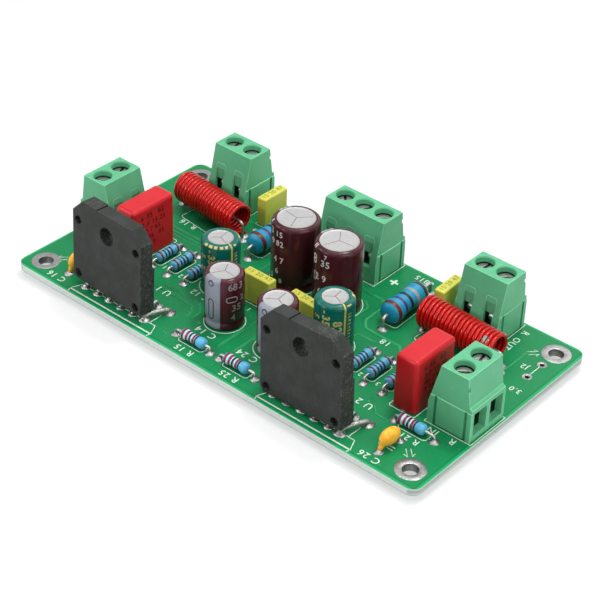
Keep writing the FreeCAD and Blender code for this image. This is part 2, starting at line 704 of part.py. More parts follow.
def board():
    """The drilled board."""
    plate = box(-BOARD_LENGTH / 2.0, BOARD_LENGTH / 2.0, -BOARD_WIDTH / 2.0, BOARD_WIDTH / 2.0, 0, TOP)
    upright = [e for e in plate.Edges if e.BoundBox.ZLength > TOP / 2.0]
    plate = plate.makeFillet(BOARD_CORNER_RADIUS, upright)
    through = V(0, 0, TOP + 2 * CUT_PAST)
    drills = [clear_rod(V(x, y, -CUT_PAST), through, r, HOLE_SIDES) for x, y, r in wire_holes]
    for x, y in SPARE_HOLES:
        spare_radius = SPARE_HOLE_DIAMETER / 2.0
        drills.append(clear_rod(V(x, y, -CUT_PAST), through, spare_radius, PIT_SIDES))
    for sx in (-1, 1):
        for sy in (-1, 1):
            x = sx * MOUNT_SPACING_X / 2.0
            y = sy * MOUNT_SPACING_Y / 2.0
            drills.append(cylinder(x, y, -CUT_PAST, TOP + CUT_PAST, MOUNT_HOLE_DIAMETER / 2.0))
    return plate.cut(drills)


def main():
    """Build every node and write it."""
    os.makedirs("parts", exist_ok=True)
    contacts = []
    make_terminal("supply_terminal", 3, SUPPLY_AT, contacts)
    make_terminal("left_output_terminal", 2, LEFT_OUTPUT_AT, contacts)
    make_terminal("right_output_terminal", 2, RIGHT_OUTPUT_AT, contacts)
    make_terminal("left_input_terminal", 2, LEFT_INPUT_AT, contacts)
    make_terminal("right_input_terminal", 2, RIGHT_INPUT_AT, contacts)
    save("terminal_contacts", contacts)
    save("left_power_chip", [power_chip(LEFT_CHIP_AT)])
    save("right_power_chip", [power_chip(RIGHT_CHIP_AT)])
    for side in ("left", "right"):
        big = can(BIG_CANS_AT[side], BIG_CAN_DIAMETER, BIG_CAN_HEIGHT, BIG_CAN_LEAD_PITCH)
        save(side + "_supply_electrolytic", [big])
        small = can(SMALL_CANS_AT[side], SMALL_CAN_DIAMETER, SMALL_CAN_HEIGHT, SMALL_CAN_LEAD_PITCH)
        save(side + "_mute_electrolytic", [small])
        teal = can(TEAL_CANS_AT[side], SMALL_CAN_DIAMETER, SMALL_CAN_HEIGHT, SMALL_CAN_LEAD_PITCH)
        save(side + "_feedback_electrolytic", [teal])
        red_at = RED_CAPS_AT[side] + (RED_TURN,)
        red = box_capacitor(
            red_at, RED_LENGTH, RED_WIDTH, RED_HEIGHT, RED_LEAD_PITCH, RED_ROUND, RED_STEPS,
        )
        save(side + "_input_film_capacitor", [red])
        make_coil(side + "_output_coil", COILS_AT[side])
        big_r = axial_part(
            BIG_RESISTORS_AT[side], BIG_R_PITCH, BIG_R_LENGTH, BIG_R_DIAMETER, BIG_R_HEIGHT,
            HEAVY_WIRE_DIAMETER, BIG_R_SIDES, True,
        )
        save(side + "_power_resistor", [big_r])
    for name, at in YELLOW_CAPS_AT.items():
        yellow = box_capacitor(
            at, YELLOW_LENGTH, YELLOW_WIDTH, YELLOW_HEIGHT, YELLOW_LEAD_PITCH, YELLOW_CHAMFER, 1,
        )
        save(name + "_film_capacitor", [yellow])
    for name, at in SMALL_RESISTORS_AT.items():
        small_r = axial_part(
            at, SMALL_R_PITCH, SMALL_R_LENGTH, SMALL_R_DIAMETER, SMALL_R_HEIGHT,
            WIRE_DIAMETER, SMALL_R_SIDES, True,
        )
        save(name, [small_r])
    coil_axis = COIL_LIFT + COIL_OUTER_DIAMETER / 2.0
    inner = []
    for side in ("left", "right"):
        x, y, turn = COILS_AT[side]
        inner_at = spot(x, y, turn, INNER_R_SHIFT, INNER_R_OFFSET) + (turn,)
        inner.append(axial_part(
            inner_at, INNER_R_PITCH, INNER_R_LENGTH, INNER_R_DIAMETER, coil_axis,
            WIRE_DIAMETER, SMALL_R_SIDES, False, INNER_R_ALONG[side],
        ))
    save("coil_damping_resistors", inner)
    save("ceramic_capacitors", [ceramic(CERAMICS_AT[side]) for side in ("left", "right")])
    save("wire_links", [link(ends) for ends in LINKS])
    save("circuit_board", [board()])


main()
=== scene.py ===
"""Looks of the stereo audio amplifier board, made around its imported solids.

Sizes are millimetres and become metres only where a mesh is made. Heights count from the upper
face of the board unless a name says otherwise.
"""

from __future__ import annotations

import logging
import math
from collections.abc import Callable, Iterable, Iterator, Mapping, Sequence
from contextlib import contextmanager
from dataclasses import dataclass, field
from enum import Enum
from typing import Any

import bmesh
import bpy
from mathutils import Matrix, Vector


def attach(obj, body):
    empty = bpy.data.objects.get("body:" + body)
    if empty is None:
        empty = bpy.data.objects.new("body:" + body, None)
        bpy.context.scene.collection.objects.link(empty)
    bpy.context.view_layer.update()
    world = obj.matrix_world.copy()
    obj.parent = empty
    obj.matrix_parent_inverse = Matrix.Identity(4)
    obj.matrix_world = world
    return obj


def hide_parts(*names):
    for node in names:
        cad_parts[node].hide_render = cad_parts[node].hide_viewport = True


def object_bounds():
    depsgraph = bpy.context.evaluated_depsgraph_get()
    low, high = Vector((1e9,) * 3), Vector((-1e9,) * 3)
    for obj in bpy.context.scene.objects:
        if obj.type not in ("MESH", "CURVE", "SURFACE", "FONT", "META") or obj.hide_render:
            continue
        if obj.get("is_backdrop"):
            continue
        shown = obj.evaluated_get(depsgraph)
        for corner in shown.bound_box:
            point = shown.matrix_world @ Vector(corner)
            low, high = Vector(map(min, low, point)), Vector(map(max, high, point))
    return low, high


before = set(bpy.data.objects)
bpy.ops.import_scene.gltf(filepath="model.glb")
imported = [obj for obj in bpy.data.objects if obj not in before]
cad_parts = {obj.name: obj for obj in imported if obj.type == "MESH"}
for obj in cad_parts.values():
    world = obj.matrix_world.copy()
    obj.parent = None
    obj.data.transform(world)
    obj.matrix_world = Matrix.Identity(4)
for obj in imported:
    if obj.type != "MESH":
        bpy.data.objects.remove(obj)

MM = 0.001
ROOT = "board_assembly"
BOARD_TOP = 1.6
HALF_LENGTH = 52.25
HALF_WIDTH = 27.5
LEAD_RADIUS = 0.3
# Where leads end, from the board's upper face and from its underside.
TAIL_END = -3.1
TAIL_LEVEL = -1.5
# Millimetres along a turned piece for one of its map's height.
WRAP_LENGTH = 100.0
# A capital's height as a share of the font's size.
CAPITAL_SHARE = 0.72
# The distance between the folds of lettering bent round a can.
FOLD_STEP = 0.25
# A place far below the board, for marks that a piece doesn't have.
NOWHERE = (0.0, 0.0, -99.0)

log = logging.getLogger("amplifier_board")

Point = tuple[float, float, float]
Spot = tuple[float, float]
# A place on the board and a turn about Z in degrees.
Place = tuple[float, float, float]
# Red, green and blue from 0 to 255.
Paint = tuple[int, int, int]
Piece = bpy.types.Object


class Slot(Enum):
    """The record's material slots; each box capacitor keeps one, which nothing here reads."""

    BOARD = "board_green"
    TERMINAL = "terminal_green"
    SCREW = "screw_steel"
    CONTACT = "contact_tin"
    CHIP = "chip_black"
    COIL = "coil_red"
    MAROON = "sleeve_maroon"
    TEAL = "sleeve_teal"
    RED = "film_red"
    YELLOW = "film_yellow"
    RESISTOR = "resistor_blue"
    CERAMIC = "ceramic_orange"
    WIRE = "tinned_wire"


class Side(Enum):
    """The two channels of the board."""

    LEFT = "left"
    RIGHT = "right"


class Facing(Enum):
    """Which way a line of print reads, as a turn about Z in degrees."""

    BACK = 180.0
    RIGHT = -90.0


# Shader maths.


def paint(colour: Paint) -> tuple[float, float, float, float]:
    """Turn a colour written in 0 to 255 into the shader's linear values.

    Args:
        colour: Red, green and blue from 0 to 255.

    Returns:
        Linear red, green and blue, and an alpha of one.
    """
    linear = []
    for part in colour:
        share = part / 255.0
        linear.append(share / 12.92 if share <= 0.04045 else ((share + 0.055) / 1.055) ** 2.4)
    return (linear[0], linear[1], linear[2], 1.0)


def operator(operation: str, swapped: bool = False) -> Callable[["Signal", Any], "Signal"]:
    """Make one of a signal's operators.

    Args:
        operation: The Math node's operation.
        swapped: Whether the other value comes first.

    Returns:
        The method of a signal and the other value.
    """

    def method(self: "Signal", other: Any) -> "Signal":
        """Return the operation's result."""
        return self.maths(operation, other, self) if swapped else self.maths(operation, self, other)

    return method


class Signal:
    """A shader value that can be written into a sum."""

    __add__ = operator("ADD")
    __radd__ = operator("ADD", swapped=True)
    __sub__ = operator("SUBTRACT")
    __rsub__ = operator("SUBTRACT", swapped=True)
    __mul__ = operator("MULTIPLY")
    __rmul__ = operator("MULTIPLY", swapped=True)
    __pow__ = operator("POWER")
    least = operator("MINIMUM")
    most = operator("MAXIMUM")

    def __init__(self, graph: "Nodes", socket: bpy.types.NodeSocket) -> None:
        """Wrap the output socket of a node."""
        self.graph = graph
        self.socket = socket

    def maths(self, operation: str, first: Any, second: Any = 0.0) -> "Signal":
        """Add a Math node on one or two values or signals, and return its result."""
        node = self.graph.make("ShaderNodeMath", {"operation": operation}, {0: first, 1: second})
        return Signal(self.graph, node.outputs[0])

    def __abs__(self) -> "Signal":
        """Return the size without its sign."""
        return self.maths("ABSOLUTE", self)

    def repeat(self, period: float) -> "Signal":
        """Return the distance into a repeated period, from zero to it."""
        return self.maths("MULTIPLY", self.maths("FRACT", self * (1.0 / period)), period)

    def rise(self, low: float, high: float) -> "Signal":
        """Ease from none to one between two levels.

        Args:
            low: The level where it starts.
            high: The level where it is one.

        Returns:
            A mask from zero to one.
        """
        node = self.graph.make(
            "ShaderNodeMapRange",
            {"interpolation_type": "SMOOTHSTEP", "clamp": True},
            {0: self, 1: low, 2: high, 3: 0.0, 4: 1.0},
        )
        return Signal(self.graph, node.outputs[0])

    def within(self, low: float, high: float, soft: float) -> "Signal":
        """Return a mask that is one inside a band and zero outside it, with soft edges."""
        return self.rise(low - soft, low + soft) * (1.0 - self.rise(high - soft, high + soft))


class Nodes:
    """A node tree, with the one method that adds its nodes."""

    def __init__(self, tree: bpy.types.NodeTree) -> None:
        """Take a tree and empty it."""
        self.tree = tree
        tree.nodes.clear()

    def make(
        self, kind: str, settings: Mapping[str, Any] | None = None, sockets: Mapping[Any, Any] | None = None
    ) -> bpy.types.Node:
        """Add a node, set it and then feed its sockets.

        Args:
            kind: The node's type.
            settings: Its settings.
            sockets: Values or links by socket name or number.

        Returns:
            The new node.
        """
        node = self.tree.nodes.new(kind)
        for name, value in (settings or {}).items():
            setattr(node, name, value)
        for key, value in (sockets or {}).items():
            self.feed(node.inputs[key], value)
        return node

    def feed(self, socket: bpy.types.NodeSocket, value: Any) -> None:
        """Give an input its value, or link it to a signal or an output.

        Args:
            socket: The input.
            value: The value, signal or output.
        """
        if isinstance(value, Signal):
            value = value.socket
        if isinstance(value, bpy.types.NodeSocket):
            self.tree.links.new(value, socket)
        else:
            socket.default_value = value


class Graph(Nodes):
    """The nodes of one material."""

    def __init__(self, name: str) -> None:
        """Start a material with a plain surface.

        Args:
            name: The material's name.
        """
        self.material = bpy.data.materials.new(name)
        self.material.use_nodes = True
        super().__init__(self.material.node_tree)
        self.shader = self.make("ShaderNodeBsdfPrincipled")
        self.output = self.make("ShaderNodeOutputMaterial", {}, {"Surface": self.shader.outputs["BSDF"]})
        self.spot = self.make("ShaderNodeTexCoord").outputs["Object"]
        self.scaled = self.stretched((1.0, 1.0, 1.0))
        parts = self.make("ShaderNodeSeparateXYZ", sockets={0: self.scaled})
        self.x, self.y, self.z = (Signal(self, socket) for socket in parts.outputs)

    def stretched(self, scale: Point) -> bpy.types.NodeSocket:
        """Give object coordinates in millimetres, stretched by a factor for each axis."""
        sockets = {"Vector": self.spot, "Scale": tuple(factor / MM for factor in scale)}
        return self.make("ShaderNodeMapping", {"vector_type": "POINT"}, sockets).outputs[0]

    def wrap(self) -> tuple[Signal, Signal]:
        """Give the way round a turned piece in turns, and the way along it in millimetres."""
        uv = self.make("ShaderNodeUVMap", {"uv_map": "wrap"})
        parts = self.make("ShaderNodeSeparateXYZ", sockets={0: uv.outputs[0]})
        return Signal(self, parts.outputs[0]), Signal(self, parts.outputs[1]) * WRAP_LENGTH

    def noise(
        self, size: float, detail: float = 2.0, stretch: Point = (1.0, 1.0, 1.0), rough: float = 0.5
    ) -> Signal:
        """Give a cloudy value of mean one half.

        Args:
            size: The size of its clouds in millimetres.
            detail: How many finer layers it has.
            stretch: A factor on each axis; larger is finer.
            rough: The weight of the finer layers.

        Returns:
            The value, from about 0.2 to 0.8.
        """
        sockets = {
            "Vector": self.stretched(stretch), "Scale": 1.0 / size, "Detail": detail, "Roughness": rough
        }
        return Signal(self, self.make("ShaderNodeTexNoise", {"noise_dimensions": "3D"}, sockets).outputs[0])

    def cells(self, size: float) -> Signal:
        """Give the distance to the nearest of scattered points.

        Args:
            size: The mean distance between points in millimetres.

        Returns:
            The distance as a share of the size.
        """
        sockets = {"Vector": self.scaled, "Scale": 1.0 / size}
        node = self.make("ShaderNodeTexVoronoi", {"voronoi_dimensions": "3D", "feature": "F1"}, sockets)
        return Signal(self, node.outputs[0])

    def blend(self, mask: Any, under: Any, over: Any) -> Signal:
        """Mix two colours, where the mask is how much of the second shows."""
        settings = {"data_type": "RGBA", "clamp_factor": True}
        return Signal(self, self.make("ShaderNodeMix", settings, {0: mask, 6: under, 7: over}).outputs[2])

    def normal_z(self) -> Signal:
        """Give how far a face looks up."""
        node = self.make("ShaderNodeNewGeometry")
        parts = self.make("ShaderNodeSeparateXYZ", sockets={0: node.outputs["Normal"]})
        return Signal(self, parts.outputs[2])

    def bump(self, height: Signal, depth: float) -> bpy.types.NodeSocket:
        """Turn a height of about zero to one into a normal dented by a depth in millimetres."""
        return self.make("ShaderNodeBump", {}, {"Height": height, "Distance": depth * MM}).outputs[0]

    def surface(self, **sockets: Any) -> bpy.types.Material:
        """Feed the surface.

        Args:
            sockets: Values or links by socket name, with spaces written as low lines.

        Returns:
            The finished material.
        """
        for name, value in sockets.items():
            self.feed(self.shader.inputs[name.replace("_", " ")], value)
        return self.material


# Finishes.


@dataclass(frozen=True)
class BoardFinish:
    """Green solder mask on both faces, and sawn glass laminate at the edges."""

    mask: Paint = (12, 118, 68)
    copper_below: Paint = (22, 132, 79)
    laminate: Paint = (192, 203, 197)
    core: Paint = (150, 160, 154)
    rim: Paint = (24, 172, 100)
    thread: Paint = (60, 150, 96)
    speck: Paint = (150, 200, 165)
    # Painted light: the paler tone of the sawn face that looks to the front.
    painted_front_light: Paint = (222, 228, 224)
    pour_inset: float = 0.85

    def make(self) -> bpy.types.Material:
        """Build the material from the height and the way a face looks."""
        g = Graph("board_mask")
        flat = abs(g.normal_z()).rise(0.6, 0.9)
        clouds = g.noise(9.0, 3.0).rise(0.35, 0.65)
        edge = (HALF_LENGTH - abs(g.x)).least(HALF_WIDTH - abs(g.y))
        pour = edge.rise(self.pour_inset - 0.1, self.pour_inset + 0.1)
        threads = [axis.repeat(0.9).within(0.2, 0.7, 0.2) for axis in (g.x, g.y)]
        weave = (threads[0] + threads[1]) * 0.5
        dust = 1.0 - g.cells(2.4).rise(0.03, 0.07)
        green = g.blend(pour * (0.45 + clouds * 0.35), paint(self.mask), paint(self.copper_below))
        green = g.blend(weave * 0.10, green, paint(self.thread))
        green = g.blend((1.0 - edge.rise(0.3, 0.6)) * 0.85, green, paint(self.rim))
        green = g.blend(dust * 0.35, green, paint(self.speck))
        middle = g.z.within(0.45, 1.15, 0.12) * (0.5 + g.noise(0.25, 3.0, (0.4, 0.4, 2.0)) * 0.6)
        # Painted light: the sawn face that looks to the front is paler, with less of the darker middle band.
        front = 1.0 - g.y.rise(0.01 - HALF_WIDTH, 0.1 - HALF_WIDTH)
        sawn = g.blend(middle * (1.0 - front * 0.6), paint(self.laminate), paint(self.core))
        sawn = g.blend(front * 0.5, sawn, paint(self.painted_front_light))
        sawn = g.blend(g.z.rise(1.48, 1.52) * 0.8, sawn, paint(self.rim))
        # The sawn face is darker along its lowest few tenths of a millimetre.
        sawn = g.blend((1.0 - g.z.rise(0.1, 0.3)) * 0.7, sawn, paint(self.core))
        height = pour * 0.6 + weave * 0.12 + clouds * 0.2
        return g.surface(
            Base_Color=g.blend(flat, sawn, green),
            Roughness=0.62 - flat * 0.34 + g.noise(3.0) * 0.1,
            Normal=g.bump(height * flat + g.noise(0.12, 2.0) * (1.0 - flat), 0.05),
            Specular_IOR_Level=0.13,
        )


@dataclass(frozen=True)
class MaskedCopperFinish:
    """Solder mask where it lies over a copper track."""

    colour: Paint = (38, 148, 90)
    pale: Paint = (50, 160, 100)

    def make(self) -> bpy.types.Material:
        """Build the material."""
        g = Graph("masked_copper")
        mottle = g.noise(1.2, 3.0)
        return g.surface(
            Base_Color=g.blend(mottle.rise(0.4, 0.7) * 0.5, paint(self.colour), paint(self.pale)),
            Roughness=0.26 + mottle * 0.12,
            Normal=g.bump(mottle, 0.02),
            Specular_IOR_Level=0.16,
        )


@dataclass(frozen=True)
class MouldedPlasticFinish:
    """Soft-lit moulded plastic with a fine spark-worn skin."""

    name: str
    colour: Paint
    worn: Paint
    grain: float = 0.09
    roughness: float = 0.42
    gloss: float = 0.3

    def make(self) -> bpy.types.Material:
        """Build the material."""
        g = Graph(self.name)
        clouds = g.noise(4.0, 3.0)
        fine = g.noise(self.grain, 2.0)
        scuffs = g.noise(1.6, 4.0, (1.0, 3.0, 0.7), 0.65).rise(0.62, 0.72)
        tone = g.blend(clouds.rise(0.3, 0.7) * 0.35, paint(self.colour), paint(self.worn))
        tone = g.blend(scuffs * 0.25, tone, paint(tuple(min(255, c + 30) for c in self.worn)))
        return g.surface(
            Base_Color=tone,
            Roughness=self.roughness + fine * 0.1 + scuffs * 0.08,
            Normal=g.bump(fine, 0.012),
            Specular_IOR_Level=self.gloss,
            Subsurface_Weight=0.06,
            Subsurface_Radius=(0.6, 1.0, 0.7),
            Subsurface_Scale=0.0004,
        )


@dataclass(frozen=True)
class MetalFinish:
    """Plated or bare metal with turning marks, tarnish and small dents."""

    name: str
    colour: Paint
    stain: Paint
    roughness: float = 0.32
    grain: float = 0.15
    stretch: Point = (1.0, 1.0, 1.0)
    tarnish: float = 0.35
    dent: float = 0.03

    def make(self) -> bpy.types.Material:
        """Build the material."""
        g = Graph(self.name)
        spots = g.noise(0.7, 4.0, (1.0, 1.0, 1.0), 0.6).rise(0.48, 0.68)
        marks = g.noise(self.grain, 3.0, self.stretch, 0.6)
        return g.surface(
            Base_Color=g.blend(spots * self.tarnish, paint(self.colour), paint(self.stain)),
            Metallic=0.95 - spots * 0.25,
            Roughness=self.roughness + marks * 0.16 + spots * 0.12,
            Normal=g.bump(marks, self.dent),
        )


@dataclass(frozen=True)
class ChipMouldFinish:
    """Black filled epoxy, dusty and lightly scratched."""

    name: str
    colour: Paint = (44, 46, 44)
    pale: Paint = (60, 63, 61)
    speck: Paint = (128, 130, 126)
    scratched: Paint = (110, 112, 110)
    chipped: Paint = (112, 112, 104)
    foot: Point = NOWHERE
    lean: float = 0.0
    dusty: float = 0.25
    side_rim: Spot = (9.72, 9.95)
    top_rim: Spot = (18.3, 18.5)

    def make(self) -> bpy.types.Material:
        """Build the material."""
        g = Graph(self.name)
        clouds = g.noise(3.5, 4.0, (1.0, 1.0, 1.0), 0.6)
        fine = g.noise(0.1, 2.0)
        dust = (1.0 - g.cells(0.75).rise(0.05, 0.11)) * g.noise(2.0).rise(0.45, 0.6)
        scratch = (g.noise(1.1, 2.0, (2.4, 1.0, 0.35)) - 0.5) * 40.0
        lines = (1.0 - abs(scratch).rise(0.1, 0.6)) * g.noise(2.6, 1.0).rise(0.54, 0.62)
        tone = g.blend(clouds.rise(0.35, 0.7) * 0.55, paint(self.colour), paint(self.pale))
        tone = g.blend(dust * self.dusty, tone, paint(self.speck))
        tone = g.blend(lines * 0.2, tone, paint(self.scratched))
        up = g.z - self.foot[2]
        across = abs(g.x - self.foot[0] - up * math.tan(math.radians(self.lean)))
        rim = across.rise(*self.side_rim).most(up.rise(*self.top_rim))
        chipped = rim * g.noise(0.5, 4.0, (1.0, 1.0, 1.0), 0.7).rise(0.52, 0.6)
        tone = g.blend(chipped * 0.35, tone, paint(self.chipped))
        return g.surface(
            Base_Color=tone,
            Roughness=0.5 + clouds * 0.12,
            Normal=g.bump(fine * 0.8 + lines * 0.4, 0.018),
            Specular_IOR_Level=0.15,
        )


@dataclass(frozen=True)
class SleeveFinish:
    """A shrunk plastic sleeve: a coloured field and a lengthwise stripe with dark rings on it."""

    name: str
    colour: Paint
    deep: Paint
    stripe: Paint
    bars: Paint
    radius: float
    length: float
    stripe_at: float = 0.0
    stripe_half: float = 0.08
    pills: tuple[tuple[float, float, float], ...] = ()
    rule_at: float = -1.0

    def make(self) -> bpy.types.Material:
        """Build the material; a pill is its middle height, half its length and half its width."""
        g = Graph(self.name)
        round_, along = g.wrap()
        shift = (round_ - self.stripe_at + 0.5).repeat(1.0) - 0.5
        stripe = 1.0 - abs(shift).rise(self.stripe_half - 0.004, self.stripe_half + 0.004)
        arc = shift * (2.0 * math.pi * self.radius)
        ripple = g.noise(1.4, 3.0, (1.0, 1.0, 0.35))
        tone = g.blend(ripple.rise(0.35, 0.7) * 0.5, paint(self.colour), paint(self.deep))
        tone = g.blend(stripe, tone, paint(self.stripe))
        for middle, half_long, half_wide in self.pills:
            ends = (abs(along - middle) - (half_long - half_wide)).most(0.0)
            ring = ((ends**2.0 + arc**2.0) ** 0.5).within(half_wide - 0.13, half_wide + 0.13, 0.05)
            tone = g.blend(ring * 0.9, tone, paint(self.bars))
        if self.rule_at > -1.0:
            side = ((round_ - self.rule_at + 0.5).repeat(1.0) - 0.5) * (2.0 * math.pi * self.radius)
            rule = 1.0 - abs(side).rise(0.16, 0.24)
            marks = (side - 0.2).within(0.5, 1.3, 0.06) * along.repeat(0.8).within(0.2, 0.6, 0.06)
            gate = along.within(1.6, self.length - 2.0, 0.05)
            broken = g.noise(0.32, 1.0, (1.0, 1.0, 2.0)).rise(0.45, 0.5)
            tone = g.blend((rule + marks * gate * broken).least(1.0) * 0.9, tone, paint(self.bars))
        return g.surface(
            Base_Color=tone,
            Roughness=0.1 + ripple * 0.12,
            Normal=g.bump(ripple + g.noise(0.35, 2.0) * 0.25, 0.06),
            Specular_IOR_Level=0.22,
        )


@dataclass(frozen=True)
class EnamelFinish:
    """Red enamelled copper, glossy, with a scraped place where bare metal shows."""

    colour: Paint = (190, 14, 7)
    dark: Paint = (104, 5, 4)
    bare: Paint = (150, 144, 138)
    bare_dark: Paint = (96, 92, 86)
    scrape_at: Point = NOWHERE
    scrape_reach: float = 0.75

    def make(self) -> bpy.types.Material:
        """Build the material."""
        g = Graph("coil_enamel")
        mottle = g.noise(0.8, 3.0)
        dx, dy, dz = (axis - at for axis, at in zip((g.x, g.y, g.z), self.scrape_at))
        reach = (dx**2.0 + dy**2.0 + dz**2.0) ** 0.5
        ragged = reach + g.noise(0.4, 3.0) * 0.9
        bare = 1.0 - ragged.rise(self.scrape_reach + 0.35, self.scrape_reach + 0.5)
        tone = g.blend(mottle.rise(0.35, 0.7) * 0.4, paint(self.colour), paint(self.dark))
        scraped = g.blend(g.noise(0.22, 3.0).rise(0.42, 0.6), paint(self.bare), paint(self.bare_dark))
        return g.surface(
            Base_Color=g.blend(bare, tone, scraped),
            Metallic=0.22 + bare * 0.5,
            Roughness=0.1 + mottle * 0.08 + bare * 0.24,
            Normal=g.bump(mottle, 0.02),
            Specular_IOR_Level=0.2,
            Coat_Weight=0.14,
            Coat_Roughness=0.05,
        )


@dataclass(frozen=True)
class LacquerFinish:
    """Resistor lacquer with colour bands along the body."""

    name: str
    colour: Paint
    bands: tuple[tuple[float, float, Paint], ...]

    def make(self) -> bpy.types.Material:
        """Build the material; a band is its middle, its width and its colour."""
        g = Graph(self.name)
        _, along = g.wrap()
        mottle = g.noise(0.9, 3.0)
        wobble = along + (g.noise(0.6, 2.0) - 0.5) * 0.16
        tone = g.blend(
            mottle.rise(0.35, 0.7) * 0.35,
            paint(self.colour),
            paint(tuple(int(c * 0.82) for c in self.colour)),
        )
        ridge: Any = 0.0
        for middle, width, colour in self.bands:
            band = wobble.within(middle - width / 2.0, middle + width / 2.0, 0.05)
            tone = g.blend(band, tone, paint(colour))
            ridge = band + ridge
        return g.surface(
            Base_Color=tone,
            Roughness=0.26 + mottle * 0.16,
            Normal=g.bump(mottle * 0.6 + ridge * 0.4, 0.04),
            Specular_IOR_Level=0.3,
        )


@dataclass(frozen=True)
class CeramicFinish:
    """Dipped orange coating, thick and slightly pitted."""

    colour: Paint = (255, 190, 58)
    deep: Paint = (228, 144, 38)

    def make(self) -> bpy.types.Material:
        """Build the material."""
        g = Graph("ceramic_coat")
        mottle = g.noise(0.8, 3.0)
        # The coat turns darker towards the bottom.
        low = 1.0 - g.z.rise(2.0, 4.2)
        tone = g.blend(mottle.rise(0.4, 0.7) * 0.5, paint(self.colour), paint(self.deep))
        return g.surface(
            Base_Color=g.blend(low * 0.5, tone, paint(self.deep)),
            Roughness=0.34 + mottle * 0.14,
            Normal=g.bump(mottle, 0.08),
            Specular_IOR_Level=0.35,
            Subsurface_Weight=0.1,
            Subsurface_Radius=(1.0, 0.5, 0.2),
            Subsurface_Scale=0.0005,
        )


@dataclass(frozen=True)
class PrintFinish:
    """Screen print or stamping ink, thin and a little broken."""

    name: str
    colour: Paint
    roughness: float = 0.55
    worn: float = 0.25

    def make(self) -> bpy.types.Material:
        """Build the material."""
        g = Graph(self.name)
        patches = g.noise(0.35, 3.0).rise(0.5, 0.72)
        faded = tuple(int(c * 0.8) for c in self.colour)
        return g.surface(
            Base_Color=g.blend(patches * self.worn * 2.0, paint(self.colour), paint(faded)),
            Roughness=self.roughness + patches * 0.1,
            Normal=g.bump(patches, 0.01),
            Specular_IOR_Level=0.25,
        )


class Finishes:
    """Every finish of the board, each made once."""

    def __init__(self) -> None:
        """Build the materials."""
        self.board = BoardFinish().make()
        self.masked_copper = MaskedCopperFinish().make()
        self.terminal = MouldedPlasticFinish(
            "terminal_plastic", (91, 172, 128), (105, 186, 142), gloss=0.18
        ).make()
        # Paler green for the housing's rounded edges and raised arches: painted highlight.
        self.terminal_edge_highlight = MouldedPlasticFinish("terminal_edge_highlight", (128, 208, 160), (140, 216, 170)).make()
        # Dark green for the faces deep inside the housing: painted shade.
        self.terminal_painted_shade = MouldedPlasticFinish(
            "terminal_painted_shade", (18, 50, 35), (24, 58, 42), gloss=0.1
        ).make()
        self.screw = MetalFinish(
            "screw_metal", (150, 152, 148), (84, 86, 80), 0.34, 0.1, (1.0, 1.0, 5.0), 0.6
        ).make()
        self.nickel = MetalFinish("nickel_plate", (150, 148, 140), (96, 94, 86), 0.28).make()
        self.tin = MetalFinish("tin_plate", (172, 174, 172), (128, 130, 128), 0.26).make()
        self.wire = MetalFinish(
            "tinned_wire_metal", (168, 168, 162), (112, 110, 102), 0.3, 0.2, (1.0, 1.0, 1.0), 0.45
        ).make()
        self.solder = MetalFinish(
            "solder_metal", (148, 149, 147), (92, 93, 90), 0.26, 0.35, (1.0, 1.0, 1.0), 0.5, 0.06
        ).make()
        self.can_top = MetalFinish(
            "can_top_metal", (166, 165, 165), (147, 146, 146), 0.48, 0.12, (1.0, 8.0, 1.0), 0.3, 0.015
        ).make()
        self.link = MetalFinish(
            "link_metal", (150, 152, 146), (100, 101, 95), 0.42, 0.3, (1.0, 1.0, 1.0), 0.6, 0.08
        ).make()
        # Darker can metal for the scored grooves: painted shade.
        self.can_score_shade = MetalFinish("can_score_metal", (104, 104, 101), (72, 72, 70), 0.5).make()
        # Darker epoxy for the chip's hole and pits: painted shade.
        self.chip_pit_shade = ChipMouldFinish("chip_pit_shade", (26, 28, 26), (34, 36, 35), dusty=0.03).make()
        self.red = MouldedPlasticFinish("red_case", (194, 26, 36), (204, 34, 44), 0.2, 0.26, 0.26).make()
        self.yellow = MouldedPlasticFinish("yellow_case", (198, 197, 76), (212, 210, 98), 0.2, 0.34).make()
        self.ceramic = CeramicFinish().make()
        self.white_print = PrintFinish("white_print", (218, 236, 222)).make()
        self.pale_print = PrintFinish("pale_print", (206, 200, 202), 0.35).make()
        self.dim_print = PrintFinish("dim_print", (150, 144, 146), 0.35).make()
        self.gold_print = PrintFinish("gold_print", (206, 192, 116), 0.3).make()
        self.dark_print = PrintFinish("dark_print", (72, 6, 10), 0.35).make()
        self.olive_print = PrintFinish("olive_print", (128, 120, 40), 0.4).make()


# Modelling, as by hand.


def nothing() -> None:
    """Leave edit mode and deselect everything."""
    if bpy.context.object is not None and bpy.context.object.mode != "OBJECT":
        bpy.ops.object.mode_set(mode="OBJECT")
    bpy.ops.object.select_all(action="DESELECT")


def only(*pieces: Piece) -> Piece:
    """Select these pieces alone and work on the first.

    Args:
        pieces: The pieces.

    Returns:
        The first of them.
    """
    nothing()
    for piece in pieces:
        piece.select_set(True)
    bpy.context.view_layer.objects.active = pieces[0]
    return pieces[0]


@contextmanager
def shaping(piece: Piece) -> Iterator[Piece]:
    """Work on a piece in edit mode, with nothing selected at first.

    Args:
        piece: The piece.

    Yields:
        The piece.
    """
    only(piece)
    bpy.ops.object.mode_set(mode="EDIT")
    bpy.ops.mesh.select_mode(type="FACE")
    bpy.ops.mesh.select_all(action="DESELECT")
    try:
        yield piece
    finally:
        bpy.ops.object.mode_set(mode="OBJECT")


def pick_faces(piece: Piece, wanted: Callable[[Vector, Vector], bool]) -> None:
    """Select the faces that answer a question, in edit mode.

    Args:
        piece: The piece that is being shaped.
        wanted: Asked with each face's middle in millimetres and its normal.
    """
    bpy.ops.mesh.select_mode(type="FACE")
    mesh = bmesh.from_edit_mesh(piece.data)
    for face in mesh.faces:
        face.select_set(wanted(face.calc_center_median() / MM, face.normal))
    bmesh.update_edit_mesh(piece.data)


